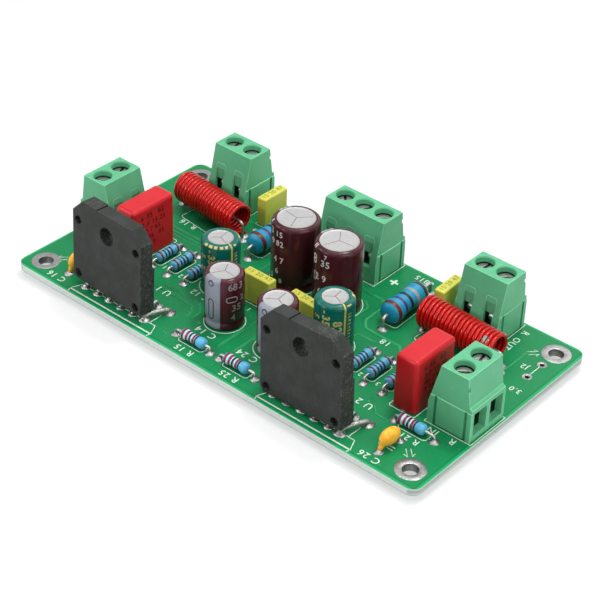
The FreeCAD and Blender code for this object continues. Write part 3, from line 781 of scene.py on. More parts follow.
def pick_edges(piece: Piece, wanted: Callable[[Vector, Vector], bool]) -> None:
    """Select the edges that answer a question, in edit mode.

    Args:
        piece: The piece that is being shaped.
        wanted: Asked with each edge's two ends in millimetres.
    """
    bpy.ops.mesh.select_mode(type="EDGE")
    mesh = bmesh.from_edit_mesh(piece.data)
    for edge in mesh.edges:
        edge.select_set(False)
    for edge in mesh.edges:
        if wanted(edge.verts[0].co / MM, edge.verts[1].co / MM):
            edge.select_set(True)
    bmesh.update_edit_mesh(piece.data)


def slit(point: Point, normal: Point, away: bool = False) -> None:
    """Cut the whole piece in edit mode along a plane.

    Args:
        point: A point of the plane in millimetres.
        normal: The plane's normal.
        away: Whether what lies beyond the plane is taken away and the cut filled.
    """
    bpy.ops.mesh.select_all(action="SELECT")
    plane = [part * MM for part in point]
    bpy.ops.mesh.bisect(plane_co=plane, plane_no=normal, use_fill=away, clear_outer=away)


def repaint(piece: Piece, wanted: Callable[[Vector, Vector], bool], slot: int) -> None:
    """Give the faces that answer a question another of the piece's materials.

    Args:
        piece: The piece.
        wanted: Asked with each face's middle in millimetres and its normal.
        slot: The material's number.
    """
    with shaping(piece):
        pick_faces(piece, wanted)
        piece.active_material_index = slot
        bpy.ops.object.material_slot_assign()


def block(name: str, low: Point, high: Point) -> Piece:
    """Add a box between two corners.

    Args:
        name: The piece's name.
        low: Its lowest corner in millimetres.
        high: Its highest corner.

    Returns:
        The box.
    """
    nothing()
    size = [(b - a) * MM for a, b in zip(low, high)]
    middle = [(a + b) / 2.0 * MM for a, b in zip(low, high)]
    bpy.ops.mesh.primitive_cube_add(size=1.0, location=middle, scale=size)
    piece = bpy.context.object
    piece.name = name
    bpy.ops.object.transform_apply(location=True, rotation=True, scale=True)
    return piece


def disc(name: str, sides: int, radius: float, fill: str = "NGON") -> Piece:
    """Add a circle on the XY plane, its middle at the origin.

    Args:
        name: The piece's name.
        sides: How many sides stand for the round.
        radius: Its radius in millimetres.
        fill: Whether and how it is filled.

    Returns:
        The circle.
    """
    nothing()
    bpy.ops.mesh.primitive_circle_add(vertices=sides, radius=radius * MM, fill_type=fill)
    piece = bpy.context.object
    piece.name = name
    return piece


def plate(name: str, outline: Sequence[Spot], low: float, high: float) -> Piece:
    """Push a flat outline along X.

    Args:
        name: The piece's name.
        outline: Its corners in order, as Y and Z in millimetres.
        low: Where it starts along X.
        high: Where it ends.

    Returns:
        The solid.
    """
    piece = disc(name, len(outline), 1.0)
    for vertex, (y, z) in zip(piece.data.vertices, outline):
        vertex.co = Vector((low, y, z)) * MM
    with shaping(piece):
        bpy.ops.mesh.select_all(action="SELECT")
        run = ((high - low) * MM, 0.0, 0.0)
        bpy.ops.mesh.extrude_region_move(TRANSFORM_OT_translate={"value": run})
        bpy.ops.mesh.select_all(action="SELECT")
        bpy.ops.mesh.normals_make_consistent(inside=False)
    return piece


def taper(
    name: str, near: tuple[float, float, float, float], far: tuple[float, float, float, float]
) -> Piece:
    """Model a box whose far end, towards +Y, has another size.

    Args:
        name: The piece's name.
        near: Its near end: place along Y, half its width, and its lower and upper height.
        far: Its far end.

    Returns:
        The tapered box, its middle at zero along X.
    """
    piece = block(name, (-near[1], near[0], near[2]), (near[1], far[0], near[3]))
    with shaping(piece):
        pick_faces(piece, lambda middle, normal: normal.y > 0.9)
        grow = (far[3] - far[2]) / (near[3] - near[2])
        middle = (near[2] + near[3]) / 2.0
        bpy.ops.transform.resize(
            value=(far[1] / near[1], 1.0, grow), center_override=(0.0, 0.0, middle * MM)
        )
        bpy.ops.transform.translate(value=(0.0, 0.0, ((far[2] + far[3]) / 2.0 - middle) * MM))
    return piece


def draw_rings(rings: Sequence[Spot], extrude: Callable[..., Any]) -> None:
    """Lift the circle in edit mode to its first ring and draw it on from ring to ring.

    Args:
        rings: Radius and height of each ring in order.
        extrude: The operator that draws it on.
    """
    bpy.ops.mesh.select_all(action="SELECT")
    radius, height = rings[0]
    bpy.ops.transform.translate(value=(0.0, 0.0, height * MM))
    for wide, high in rings[1:]:
        extrude(TRANSFORM_OT_translate={"value": (0.0, 0.0, (high - height) * MM)})
        grow = wide / radius
        bpy.ops.transform.resize(value=(grow, grow, 1.0), center_override=(0.0, 0.0, high * MM))
        radius, height = wide, high
    bpy.ops.mesh.select_all(action="SELECT")


def turned(name: str, profile: Sequence[Spot], sides: int) -> Piece:
    """Turn a solid about Z by extruding a disc from ring to ring.

    Args:
        name: The piece's name.
        profile: Radius and height of each ring, from the bottom up.
        sides: How many sides stand for the round.

    Returns:
        The turned solid.
    """
    piece = disc(name, sides, profile[0][0])
    with shaping(piece):
        draw_rings(profile, bpy.ops.mesh.extrude_region_move)
        bpy.ops.mesh.normals_make_consistent(inside=False)
    return piece


def hoop(name: str, section: Sequence[Spot], sides: int) -> Piece:
    """Turn a closed ring about Z.

    Args:
        name: The piece's name.
        section: Radius and height of the section's corners in order.
        sides: How many sides stand for the round.

    Returns:
        The ring.
    """
    piece = disc(name, sides, section[0][0], "NOTHING")
    with shaping(piece):
        bpy.ops.mesh.select_mode(type="EDGE")
        draw_rings([*section, section[0]], bpy.ops.mesh.extrude_edges_move)
        bpy.ops.mesh.remove_doubles(threshold=1e-6)
        bpy.ops.mesh.normals_make_consistent(inside=False)
    return piece


def rounded(points: Sequence[Point], radius: float, steps: int = 5) -> list[Point]:
    """Ease the corners of a wire's path.

    Args:
        points: The path's corners.
        radius: How far from a corner its bend starts, in millimetres.
        steps: How many points each bend gets.

    Returns:
        The eased path.
    """
    corners = [Vector(point) for point in points]
    eased_path = [corners[0]]
    for before, corner, after in zip(corners, corners[1:], corners[2:]):
        into, out = before - corner, after - corner
        reach = min(radius, into.length * 0.49, out.length * 0.49)
        start = corner + into.normalized() * reach
        end = corner + out.normalized() * reach
        for step in range(steps + 1):
            t = step / steps
            eased_path.append(start * (1 - t) ** 2 + corner * (2 * t * (1 - t)) + end * t**2)
    eased_path.append(corners[-1])
    return [tuple(point) for point in eased_path]


def placed(name: str, data: bpy.types.ID) -> Piece:
    """Put a curve or a lamp into the scene.

    Args:
        name: Its name.
        data: The curve or the lamp.

    Returns:
        The object that holds it.
    """
    piece = bpy.data.objects.new(name, data)
    bpy.context.scene.collection.objects.link(piece)
    return piece


def wires(
    name: str,
    paths: Iterable[Sequence[Point]],
    radius: float,
    sides: int = 8,
    flat: Spot | None = None,
    closed: bool = False,
) -> Piece:
    """Run round or flat wire along paths.

    Args:
        name: The piece's name.
        paths: The points of each wire in millimetres.
        radius: The wire's radius.
        sides: How many sides stand for the round.
        flat: Width and thickness of a flat wire, which takes the radius's place.
        closed: Whether each wire joins its own start.

    Returns:
        The wires as one mesh.
    """
    nothing()
    run = bpy.data.curves.new(name, "CURVE")
    run.dimensions = "3D"
    run.use_fill_caps = True
    section = None
    if flat is None:
        run.bevel_depth = radius * MM
        run.bevel_resolution = max(0, (sides - 4) // 2)
    else:
        outline = bpy.data.curves.new(name + "_section", "CURVE")
        rim = outline.splines.new("POLY")
        rim.points.add(3)
        half_w, half_t = flat[0] / 2.0 * MM, flat[1] / 2.0 * MM
        for knot, (sx, sy) in zip(rim.points, ((1, 1), (-1, 1), (-1, -1), (1, -1))):
            knot.co = (sx * half_w, sy * half_t, 0.0, 1.0)
        rim.use_cyclic_u = True
        section = placed(name + "_section", outline)
        run.bevel_mode = "OBJECT"
        run.bevel_object = section
    for path in paths:
        spline = run.splines.new("POLY")
        spline.points.add(len(path) - 1)
        for knot, point in zip(spline.points, path):
            knot.co = (point[0] * MM, point[1] * MM, point[2] * MM, 1.0)
        spline.use_cyclic_u = closed
    only(placed(name, run))
    bpy.ops.object.convert(target="MESH")
    piece = bpy.context.object
    with shaping(piece):
        bpy.ops.mesh.select_all(action="SELECT")
        bpy.ops.mesh.remove_doubles(threshold=1e-7)
        bpy.ops.mesh.normals_make_consistent(inside=False)
    if section is not None:
        bpy.data.objects.remove(section)
    return piece


def lettering(
    name: str, words: str, cap: float, thick: float = 0.04, bold: float = 0.0, hollow: float = 0.0
) -> Piece:
    """Set plain words flat on the XY plane, their middle at the origin.

    Args:
        name: The piece's name.
        words: What they say.
        cap: The height of a capital in millimetres.
        thick: How thick the print is.
        bold: How far the strokes are fattened.
        hollow: The width of their outline where only that is printed.

    Returns:
        The words as a mesh.
    """
    nothing()
    bpy.ops.object.text_add(location=(0.0, 0.0, 0.0))
    piece = bpy.context.object
    piece.name = name
    text = piece.data
    text.body = words
    text.size = cap / CAPITAL_SHARE * MM
    text.align_x = "CENTER"
    text.align_y = "CENTER"
    text.resolution_u = 2
    text.extrude = thick / 2.0 * MM
    text.offset = bold * MM
    text.space_character = 1.12
    if hollow:
        text.extrude = 0.0
        text.bevel_depth = hollow / 2.0 * MM
        text.bevel_resolution = 0
        text.fill_mode = "NONE"
    bpy.ops.object.convert(target="MESH")
    piece = bpy.context.object
    if hollow:
        settle(piece, Matrix.Diagonal((1.0, 1.0, thick / hollow, 1.0)))
    return piece


def outlined(name: str, wide: float, tall: float, line: float, thick: float = 0.03) -> Piece:
    """Draw a flat ring with rounded ends on the XY plane, its middle at the origin.

    Args:
        name: The piece's name.
        wide: Its width in millimetres.
        tall: Its height.
        line: The width of its line.
        thick: How thick the print is.

    Returns:
        The ring as a mesh.
    """
    end = min(wide, tall) / 2.0
    spots = []
    for corner, (sx, sy) in enumerate(((1, 1), (-1, 1), (-1, -1), (1, -1))):
        for step in range(7):
            angle = math.pi / 2.0 * (corner + step / 6.0)
            x = sx * (wide / 2.0 - end) + end * math.cos(angle)
            spots.append((x, sy * (tall / 2.0 - end) + end * math.sin(angle), 0.0))
    ring = wires(name, [spots], line / 2.0, 4, closed=True)
    return settle(ring, Matrix.Diagonal((1.0, 1.0, thick / line, 1.0)))


def modify(piece: Piece, kind: str, **settings: Any) -> Piece:
    """Give a piece a modifier and apply it.

    Args:
        piece: The piece.
        kind: The modifier's type.
        settings: Its settings.

    Returns:
        The piece.
    """
    only(piece)
    bpy.ops.object.modifier_add(type=kind)
    modifier = piece.modifiers[-1]
    for name, value in settings.items():
        setattr(modifier, name, value)
    bpy.ops.object.modifier_apply(modifier=modifier.name)
    return piece


def cut_away(piece: Piece, cutter: Piece, how: str = "DIFFERENCE") -> Piece:
    """Cut a piece with another, or fuse them, and remove the other.

    Args:
        piece: The piece.
        cutter: The cutter.
        how: The Boolean's operation.

    Returns:
        The piece.
    """
    modify(piece, "BOOLEAN", operation=how, solver="EXACT", object=cutter)
    bpy.data.objects.remove(cutter)
    return piece


def ease_edges(
    piece: Piece, width: float, segments: int = 2, angle: float = 30.0, paint_slot: int = -1
) -> Piece:
    """Round the edges of a piece that are sharper than an angle.

    Args:
        piece: The piece.
        width: The width of the rounding in millimetres.
        segments: Its steps.
        angle: The angle in degrees.
        paint_slot: The number of the material on the rounding, or -1 to keep the faces' own.

    Returns:
        The piece.
    """
    return modify(
        piece, "BEVEL", width=width * MM, segments=segments, limit_method="ANGLE",
        angle_limit=math.radians(angle), use_clamp_overlap=True, material=paint_slot,
    )


def smooth(piece: Piece, angle: float = 35.0, flats: bool = False) -> Piece:
    """Shade a piece smooth up to an angle.

    Args:
        piece: The piece.
        angle: The angle in degrees.
        flats: Whether large faces stay flat beside their rounded edges.

    Returns:
        The piece.
    """
    only(piece)
    bpy.ops.object.shade_smooth_by_angle(angle=math.radians(angle))
    return modify(piece, "WEIGHTED_NORMAL", keep_sharp=True) if flats else piece


def settle(piece: Piece, matrix: Matrix) -> Piece:
    """Move a piece and put the move into its mesh.

    Args:
        piece: The piece.
        matrix: The move, in metres.

    Returns:
        The piece, with its object at the origin.
    """
    only(piece)
    piece.matrix_world = matrix @ piece.matrix_world
    bpy.ops.object.transform_apply(location=True, rotation=True, scale=True)
    return piece


def twin(piece: Piece, name: str) -> Piece:
    """Copy a piece with a mesh of its own.

    Args:
        piece: The piece.
        name: The copy's name.

    Returns:
        The copy.
    """
    only(piece)
    bpy.ops.object.duplicate(linked=False)
    copy = bpy.context.object
    copy.name = name
    copy.data.name = name
    return copy


def joined(name: str, pieces: Sequence[Piece]) -> Piece:
    """Make one piece of several.

    Args:
        name: The new name.
        pieces: The pieces.

    Returns:
        The joined piece.
    """
    whole = only(*pieces)
    if len(pieces) > 1:
        bpy.ops.object.join()
    whole.name = name
    whole.data.name = name
    return whole


def coat(piece: Piece, material: bpy.types.Material) -> Piece:
    """Give a piece one material.

    Args:
        piece: The piece.
        material: The material.

    Returns:
        The piece.
    """
    piece.data.materials.clear()
    piece.data.materials.append(material)
    return piece


def stand(x: float, y: float, turn: float = 0.0, lift: float = 0.0) -> Matrix:
    """Give the move in metres from a part's own frame to its place and turn on the board."""
    place = Matrix.Translation(Vector((x, y, BOARD_TOP + lift)) * MM)
    return place @ Matrix.Rotation(math.radians(turn), 4, "Z")


def turned_spot(place: Place, along: float, across: float = 0.0) -> Spot:
    """Give the board place of a point in a turned part's own frame.

    Args:
        place: The part's place and turn.
        along: The point's place along the part.
        across: Its place across it.

    Returns:
        Its place on the board.
    """
    angle = math.radians(place[2])
    x = place[0] + along * math.cos(angle) - across * math.sin(angle)
    return x, place[1] + along * math.sin(angle) + across * math.cos(angle)


def wrap_map(piece: Piece) -> Piece:
    """Map a piece turned about Z: the way round in turns, and the height in tenths of a metre.

    Args:
        piece: The piece, still about Z.

    Returns:
        The piece.
    """
    layer = piece.data.uv_layers.new(name="wrap")
    for face in piece.data.polygons:
        middle = math.atan2(face.center.y, face.center.x)
        for corner in face.loop_indices:
            point = piece.data.vertices[piece.data.loops[corner].vertex_index].co
            angle = math.atan2(point.y, point.x)
            if math.hypot(point.x, point.y) < 1e-6:
                angle = middle
            angle -= 2.0 * math.pi * round((angle - middle) / (2.0 * math.pi))
            layer.data[corner].uv = (angle / (2.0 * math.pi), point.z / MM / WRAP_LENGTH)
    return piece


def wrap_round(piece: Piece, radius: float, heading: float, height: float) -> Piece:
    """Bend flat lettering round an upright can.

    Args:
        piece: The lettering, flat on XY.
        radius: The can's radius in millimetres.
        heading: Where its middle goes, in degrees from +X.
        height: How high its middle goes.

    Returns:
        The bent lettering.
    """
    reach = max(abs(vertex.co.x) for vertex in piece.data.vertices) / MM
    with shaping(piece):
        for step in range(int(reach / FOLD_STEP) + 1):
            for side in (-1, 1):
                slit((side * (step + 0.5) * FOLD_STEP, 0.0, 0.0), (1.0, 0.0, 0.0))
    for vertex in piece.data.vertices:
        flat = vertex.co / MM
        angle = math.radians(heading) + flat.x / radius
        out = radius + flat.z
        vertex.co = Vector((out * math.cos(angle), out * math.sin(angle), height + flat.y)) * MM
    return piece


def seat(piece: Piece, body: str, stands_for: Sequence[str] = ()) -> Piece:
    """Make a finished piece ride on a body and stand for its solids.

    Args:
        piece: The finished piece.
        body: The body that carries it.
        stands_for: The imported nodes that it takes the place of.

    Returns:
        The piece.
    """
    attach(piece, body)
    if stands_for:
        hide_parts(*stands_for)
    log.info("%s: %d faces on %s", piece.name, len(piece.data.polygons), body)
    return piece


# Sub-assemblies.


@dataclass
class Joints:
    """Solder: every lead that comes through the board, with its pads and fillets."""

    leads: list[tuple[float, float, float, bool]] = field(default_factory=list)
    rim_on_top: float = 0.76
    rim_below: float = 0.72

    def add(self, x: float, y: float, radius: float, on_top: bool = True) -> None:
        """Note a lead's place and radius, and whether its upper pad shows."""
        self.leads.append((x, y, radius, on_top))

    def fillet(self, radius: float, below: bool) -> Piece:
        """Model one pad with its solder, its flat side at height zero.

        Args:
            radius: The lead's radius.
            below: Whether it is the full cone of the soldered side.

        Returns:
            The fillet.
        """
        pad = radius + (self.rim_below if below else self.rim_on_top)
        if below:
            profile = [
                (pad, 0.0), (pad, 0.05), (pad - 0.08, 0.12), (radius + 0.42, 0.3),
                (radius + 0.2, 0.65), (radius + 0.09, 1.05), (radius * 0.6, 1.3),
            ]
        else:
            profile = [
                (pad, 0.0), (pad, 0.05), (pad - 0.07, 0.13), (pad - 0.22, 0.24), (pad - 0.42, 0.34),
                (radius + 0.14, 0.46), (radius + 0.04, 0.6), (radius * 0.8, 0.64),
            ]
        return smooth(turned("fillet", profile, 14), 80.0)

    def build(self, finishes: Finishes) -> None:
        """Solder every noted lead on both sides.

        Args:
            finishes: The finishes.
        """
        for below, name in ((False, "solder_on_top"), (True, "solder_below")):
            masters: dict[float, Piece] = {}
            made = []
            for i, (x, y, radius, on_top) in enumerate(self.leads):
                if not below and not on_top:
                    continue
                if radius not in masters:
                    masters[radius] = self.fillet(radius, below)
                swell = 1.0 + 0.09 * math.sin(i * 2.4)
                size = Matrix.Diagonal((swell, 2.0 - swell, 1.0 + 0.12 * math.sin(i * 1.7), 1.0))
                flip = Matrix.Rotation(math.pi, 4, "X") if below else Matrix.Identity(4)
                level = 0.0 if below else BOARD_TOP
                here = Matrix.Translation(Vector((x, y, level)) * MM)
                made.append(settle(twin(masters[radius], "fillet"), here @ flip @ size))
            for master in masters.values():
                bpy.data.objects.remove(master)
            seat(coat(joined(name, made), finishes.solder), ROOT)


def straight_pair(pitch: float, top: float) -> list[list[Point]]:
    """Give the paths of two straight leads, from their tails to a height."""
    return [[(x, 0.0, TAIL_END), (x, 0.0, top)] for x in (-pitch / 2.0, pitch / 2.0)]


def run_leads(
    place: Place,
    paths: Sequence[Sequence[Point]],
    radius: float,
    finishes: Finishes,
    joints: Joints,
    on_top: bool = True,
    bend: tuple[float, int] | None = None,
) -> Piece:
    """Run a part's round leads, and note where they come through the board.

    Args:
        place: The part's place and turn.
        paths: The corners of each lead in the part's own frame, from its tail up.
        radius: Their radius.
        finishes: The finishes.
        joints: Takes their places.
        on_top: Whether their upper pads show.
        bend: The reach and the steps of each bend, or None where the leads are straight.

    Returns:
        The leads, in the part's own frame.
    """
    for path in paths:
        joints.add(*turned_spot(place, path[0][0]), radius, on_top)
    if bend is None:
        return coat(wires("leads", paths, radius, 8), finishes.wire)
    eased = [rounded(path, *bend) for path in paths]
    return coat(smooth(wires("leads", eased, radius, 8), 60.0), finishes.wire)


@dataclass
class CircuitBoard:
    """The board's plated holes, raised tracks and white print."""

    mount_holes: tuple[Spot, ...] = ((-47.95, -23.2), (47.95, -23.2), (-47.95, 23.2), (47.95, 23.2))
    mount_radius: float = 1.65
    ring_radius: float = 3.0
    spare_holes: tuple[Spot, ...] = ((47.9, 13.25), (47.9, 18.33))
    small_can_ring: float = 4.2
    can_rings: Spot = (5.4, 4.35)
    terminal_border: Spot = (-5.7, 4.9)
    coil_border: Spot = (8.8, -4.2)
    arrows: tuple[Place, ...] = ((45.0, -19.8, -45.0), (44.5, 20.3, 45.0), (-46.0, -20.3, 225.0))
    loose_lines: tuple[tuple[Spot, ...], ...] = (
        ((36.4, -27.4), (36.7, -26.5), (35.6, -23.9), (34.1, -23.9), (34.1, -20.3)),
        ((14.3, -27.4), (13.9, -26.5), (14.9, -23.9), (34.1, -23.9)),
        ((-14.5, -27.4), (-14.2, -26.4), (-15.4, -23.9), (-36.2, -23.9), (-37.1, -26.3), (-36.8, -27.4)),
        ((-17.0, -20.5), (-17.0, -23.7)), ((47.9, 14.1), (47.9, 17.5)), ((41.0, -20.6), (42.4, -20.6)),
        ((41.0, -21.4), (42.4, -21.4)), ((39.2, -21.4), (40.2, -21.4)),
    )
    chip_lines: tuple[tuple[Spot, ...], ...] = (
        ((13.9, -26.5), (36.7, -26.5)), ((-37.1, -26.4), (-14.2, -26.4)),
    )
    bold_from: float = 2.0
    print_level: float = BOARD_TOP + 0.04
    thin_line: float = 0.19
    thick_line: float = 0.36
    ring_shifts: tuple[Spot, ...] = ((0.3, -0.25), (-0.35, -0.3))
    vias: tuple[Spot, ...] = (
        (-12.2, 2.2), (-20.8, 8.4), (15.4, 9.9), (20.3, 2.9), (-38.7, -12.6), (36.8, 16.4),
        (9.6, -8.2), (-9.9, -17.2), (1.2, 15.3), (29.0, -16.7), (-43.3, 11.0), (43.6, 3.6),
        (-30.2, -12.0), (12.0, -17.6), (-1.2, 2.6), (26.4, 15.9),
    )
    tracks: tuple[tuple[float, tuple[Spot, ...]], ...] = (
        (0.9, ((7, 14), (11.8, 14), (13.4, 12.4), (13.4, 6.4), (15.3, 4.1), (24, 4.1), (27.5, 0.6))),
        (0.7, ((8.5, 11.2), (9.8, 11.2), (11.2, 9.8), (11.2, 2.0), (9.0, -0.2))),
        (0.6, ((20, 1.9), (15.2, 1.9), (15.2, -1))),
        (0.7, ((-43, 4.4), (-22, 4.4), (-19, 1.4))),
        (0.5, ((-42, 3.2), (-22, 3.2))),
        (0.5, ((-36, 2.2), (-24, 2.2), (-22.4, 0.6))),
        (0.6, ((-24, -12.4), (-14, -12.4), (-12, -14.5), (-12, -17.2))),
        (0.5, ((-25, -13.9), (-14.9, -13.9), (-13.3, -15.5), (-13.3, -17.2))),
        (0.8, ((-1.9, -9), (-1.9, -20.5))),
        (0.8, ((1.5, -9), (1.5, -19.5))),
        (0.6, ((12.8, -12.4), (20.2, -12.4), (22.2, -14.4))),
        (0.5, ((30.2, -11.9), (33.6, -15.3), (37.8, -15.3))),
        (0.7, ((-10.4, 14), (-12.6, 14), (-13.4, 13.2), (-13.4, 1.2))),
        (0.6, ((26.6, 15.4), (26.6, 17.6), (20.4, 17.6))),
        (0.6, ((41.5, 4.2), (41.5, 10.4), (43.4, 12.3), (43.4, 20.6))),
        (0.6, ((-27.6, 15.6), (-27.6, 17.4), (-21.2, 17.4))),
    )
    rails_below: tuple[tuple[float, tuple[Spot, ...]], ...] = (
        (3.2, ((-5.5, 19), (-5.5, 12), (-12, 6), (-12, -8), (-18, -14), (-33, -16))),
        (3.2, ((4.6, 19), (4.6, 12), (12, 6), (12, -8), (18, -14), (31, -16))),
        (4.0, ((-0.5, 19), (-0.5, -20))),
        (2.2, ((-43, 12.4), (-43, 22.6), (-38, 22.6))),
        (2.2, ((24, 10.6), (24, 17), (30, 19))),
        (1.0, ((-49, -7), (-41, -7), (-37, -12), (-31, -18))),
        (1.0, ((49, -7), (41, -7), (38, -12), (20, -18))),
        (1.0, ((-30, 0), (-22, 0), (-15, -5))),
        (1.0, ((30, 0), (22, 0), (15, -5))),
    )
    words: tuple[tuple[Facing, tuple[tuple[str, float, float, float], ...]], ...] = (
        (Facing.BACK, (
            ("C 14", -6.6, -18.6, 1.7), ("C 24", 4.4, -18.6, 1.7), ("R 15", -5.8, -25.6, 1.6),
            ("R 25", 6.1, -25.7, 1.6), ("C 26", 40.4, -25.6, 1.6), ("C 16", -42.2, -25.5, 1.6),
            ("R 21", 42.6, -16.7, 1.5), ("U 2", 30.2, -14.4, 1.7), ("U 1", -22.6, -14.2, 1.7),
            ("C 12", -16.2, -10.2, 1.6), ("2", 24.0, -8.0, 1.2), ("3", 28.3, -8.0, 1.2),
            ("1", -28.4, -8.0, 1.2), ("2", -23.8, -8.0, 1.2), ("18", 21.3, 3.1, 1.6),
            ("0815", 13.9, 25.3, 1.5), ("+", 9.7, 20.7, 2.7), ("-", -7.6, 26.2, 1.6),
            ("IN", 44.4, -12.0, 1.6), ("R", 48.9, -12.0, 1.6), ("3.0", 48.6, 8.4, 1.4),
            ("J2", 45.7, 15.6, 1.4), ("R 16", -36.2, 7.1, 1.6), ("+", -24.4, 15.4, 1.6),
            ("1", -5.7, -7.0, 1.2), ("IN", -45.6, -12.2, 1.6), ("L", -49.2, -12.2, 1.6),
            ("OUT", -27.4, 25.6, 1.4),
        )),
        (Facing.RIGHT, (("OUT", 39.6, 20.0, 1.5), ("R", 39.6, 24.6, 1.5), ("L", -41.2, 24.9, 1.5))),
    )
    via: tuple[Spot, ...] = ((0.42, 0.0), (0.4, 0.05), (0.2, 0.06), (0.12, 0.03))
    spare_ring: tuple[Spot, ...] = (
        (0.45, -1.65), (1.0, -1.65), (1.0, -1.6), (0.5, -1.6), (0.5, 0.0), (1.0, 0.0), (0.98, 0.07),
        (0.6, 0.08), (0.45, 0.0),
    )

    def outline(self, half_x: float, half_y: float, cut: float) -> list[Spot]:
        """Give a box outline with cut corners, about the origin.

        Args:
            half_x: Half its length.
            half_y: Half its width.
            cut: How much each corner is cut.

        Returns:
            Its corners, the first one repeated at the end.
        """
        ring = [
            (half_x - cut, half_y), (cut - half_x, half_y), (-half_x, half_y - cut),
            (-half_x, cut - half_y), (cut - half_x, -half_y), (half_x - cut, -half_y),
            (half_x, cut - half_y), (half_x, half_y - cut),
        ]
        return [*ring, ring[0]]

    def ring(self, x: float, y: float, radius: float, start: float = 0.0, end: float = 360.0) -> list[Spot]:
        """Give points round a circle or an arc of it.

        Args:
            x: Its middle along the board.
            y: Its middle across the board.
            radius: Its radius.
            start: Where the arc starts, in degrees.
            end: Where it ends.

        Returns:
            The points.
        """
        count = max(6, int((end - start) / 10.0))
        spots = []
        for k in range(count + 1):
            angle = math.radians(start + (end - start) * k / count)
            spots.append((x + radius * math.cos(angle), y + radius * math.sin(angle)))
        return spots

    def part_outlines(self) -> list[tuple[Iterable[Place], Point]]:
        """Give the places of the box-shaped parts, with half their lengths, widths and cut corners."""
        return [
            (RESISTOR_PLACES.values(), (3.2, 1.15, 0.45)),
            (POWER_RESISTOR_PLACES.values(), (6.3, 1.9, 0.5)),
            (RED_CAP_PLACES.values(), (6.35, 3.0, 0.3)),
            (YELLOW_CAP_PLACES.values(), (3.85, 1.45, 0.2)),
        ]

    def thin_lines(self) -> list[Sequence[Spot]]:
        """Give every thin line of the white print, in board millimetres."""
        lines: list[Sequence[Spot]] = []

        def put(shape: Sequence[Spot], place: Place) -> None:
            """Place an outline on the board."""
            lines.append([turned_spot(place, along, across) for along, across in shape])

        for places, shape in self.part_outlines():
            for place in places:
                put(self.outline(*shape), place)
        for place in RESISTOR_PLACES.values():
            for end in (-1, 1):
                put([(end * 3.2, 0.0), (end * 3.65, 0.0)], place)
        for (x, y), (right, back) in zip(SMALL_CAN_PLACES.values(), self.ring_shifts):
            lines.append(self.ring(x + right, y + back, self.small_can_ring))
        for places, radius in zip((BIG_CAN_PLACES, TEAL_CAN_PLACES), self.can_rings):
            lines += [self.ring(x, y, radius) for x, y in places.values()]
        for side, place in COIL_PLACES.items():
            start = -5.8 if side is Side.LEFT else -8.6
            end, across = self.coil_border
            put(rounded_flat([(start, 0.6), (start, across), (end, across), (end, 2.0)], 0.9), place)
        front, back = self.terminal_border
        for place, headings in TERMINAL_PLACES.values():
            half = len(headings) * ScrewTerminal.pitch / 2.0 + 0.35
            put([(-half, front), (half, front), (half, back), (-half, back), (-half, front)], place)
            put([(half - 0.6, front + 0.6), (half, front + 0.6)], place)
        lines += self.loose_lines
        for place in self.arrows:
            for across in (-0.45, 0.45):
                put([(-1.1, across), (1.1, across), (0.35, across + math.copysign(0.6, across))], place)
        return lines

    def strips(self, name: str, lines: Iterable[Sequence[Spot]], width: float, level: float) -> Piece:
        """Lay flat strips on the board.

        Args:
            name: The piece's name.
            lines: Their points in board millimetres.
            width: Their width.
            level: The height of their middle over the board's underside.

        Returns:
            The strips as one mesh.
        """
        paths = [[(x, y, 0.0) for x, y in line] for line in lines]
        laid = wires(name, paths, width / 2.0, flat=(width, 0.08))
        return settle(laid, Matrix.Translation((0, 0, level * MM)))

    def white_print(self, finishes: Finishes) -> None:
        """Print the white lines and plain marks.

        Args:
            finishes: The finishes.
        """
        made = [self.strips("thin_lines", self.thin_lines(), self.thin_line, self.print_level)]
        made.append(self.strips("thick_lines", self.chip_lines, self.thick_line, self.print_level))
        for facing, marks in self.words:
            for words, x, y, cap in marks:
                mark = lettering("word", words, cap, 0.05, 0.12 if cap > self.bold_from else 0.0)
                made.append(settle(mark, stand(x, y, facing.value, 0.045)))
        seat(coat(joined("white_board_print", made), finishes.white_print), ROOT)

    def copper(self, finishes: Finishes) -> None:
        """Raise the tracks under the mask, and plate the holes.

        Args:
            finishes: The finishes.
        """
        made = [self.strips("track", [run], width, BOARD_TOP + 0.005) for width, run in self.tracks]
        made += [settle(turned("via", self.via, 12), stand(x, y)) for x, y in self.vias]
        seat(coat(joined("tracks_on_top", made), finishes.masked_copper), ROOT)
        made = [self.strips("rail", [run], width, -0.005) for width, run in self.rails_below]
        seat(coat(joined("tracks_below", made), finishes.masked_copper), ROOT)
        outer, inner = self.ring_radius, self.mount_radius
        mount_ring = (
            (inner - 0.06, -1.66), (outer, -1.66), (outer, -1.6), (inner, -1.6), (inner, 0.0),
            (outer, 0.0), (outer, 0.05), (outer - 0.1, 0.09), (inner + 0.25, 0.09), (inner - 0.06, 0.02),
        )
        rings = []
        for spots, section, sides in (
            (self.mount_holes, mount_ring, 40), (self.spare_holes, self.spare_ring, 20)
        ):
            rings += [settle(smooth(hoop("ring", section, sides)), stand(x, y)) for x, y in spots]
        seat(coat(joined("plated_rings", rings), finishes.solder), ROOT)

    def build(self, finishes: Finishes) -> None:
        """Dress the board.

        Args:
            finishes: The finishes.
        """
        coat(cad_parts["circuit_board"], finishes.board)
        self.copper(finishes)
        self.white_print(finishes)


def rounded_flat(spots: Sequence[Spot], radius: float) -> list[Spot]:
    """Ease the corners of a flat line; each bend starts at a radius from its corner."""
    return [(x, y) for x, y, _ in rounded([(x, y, 0.0) for x, y in spots], radius)]


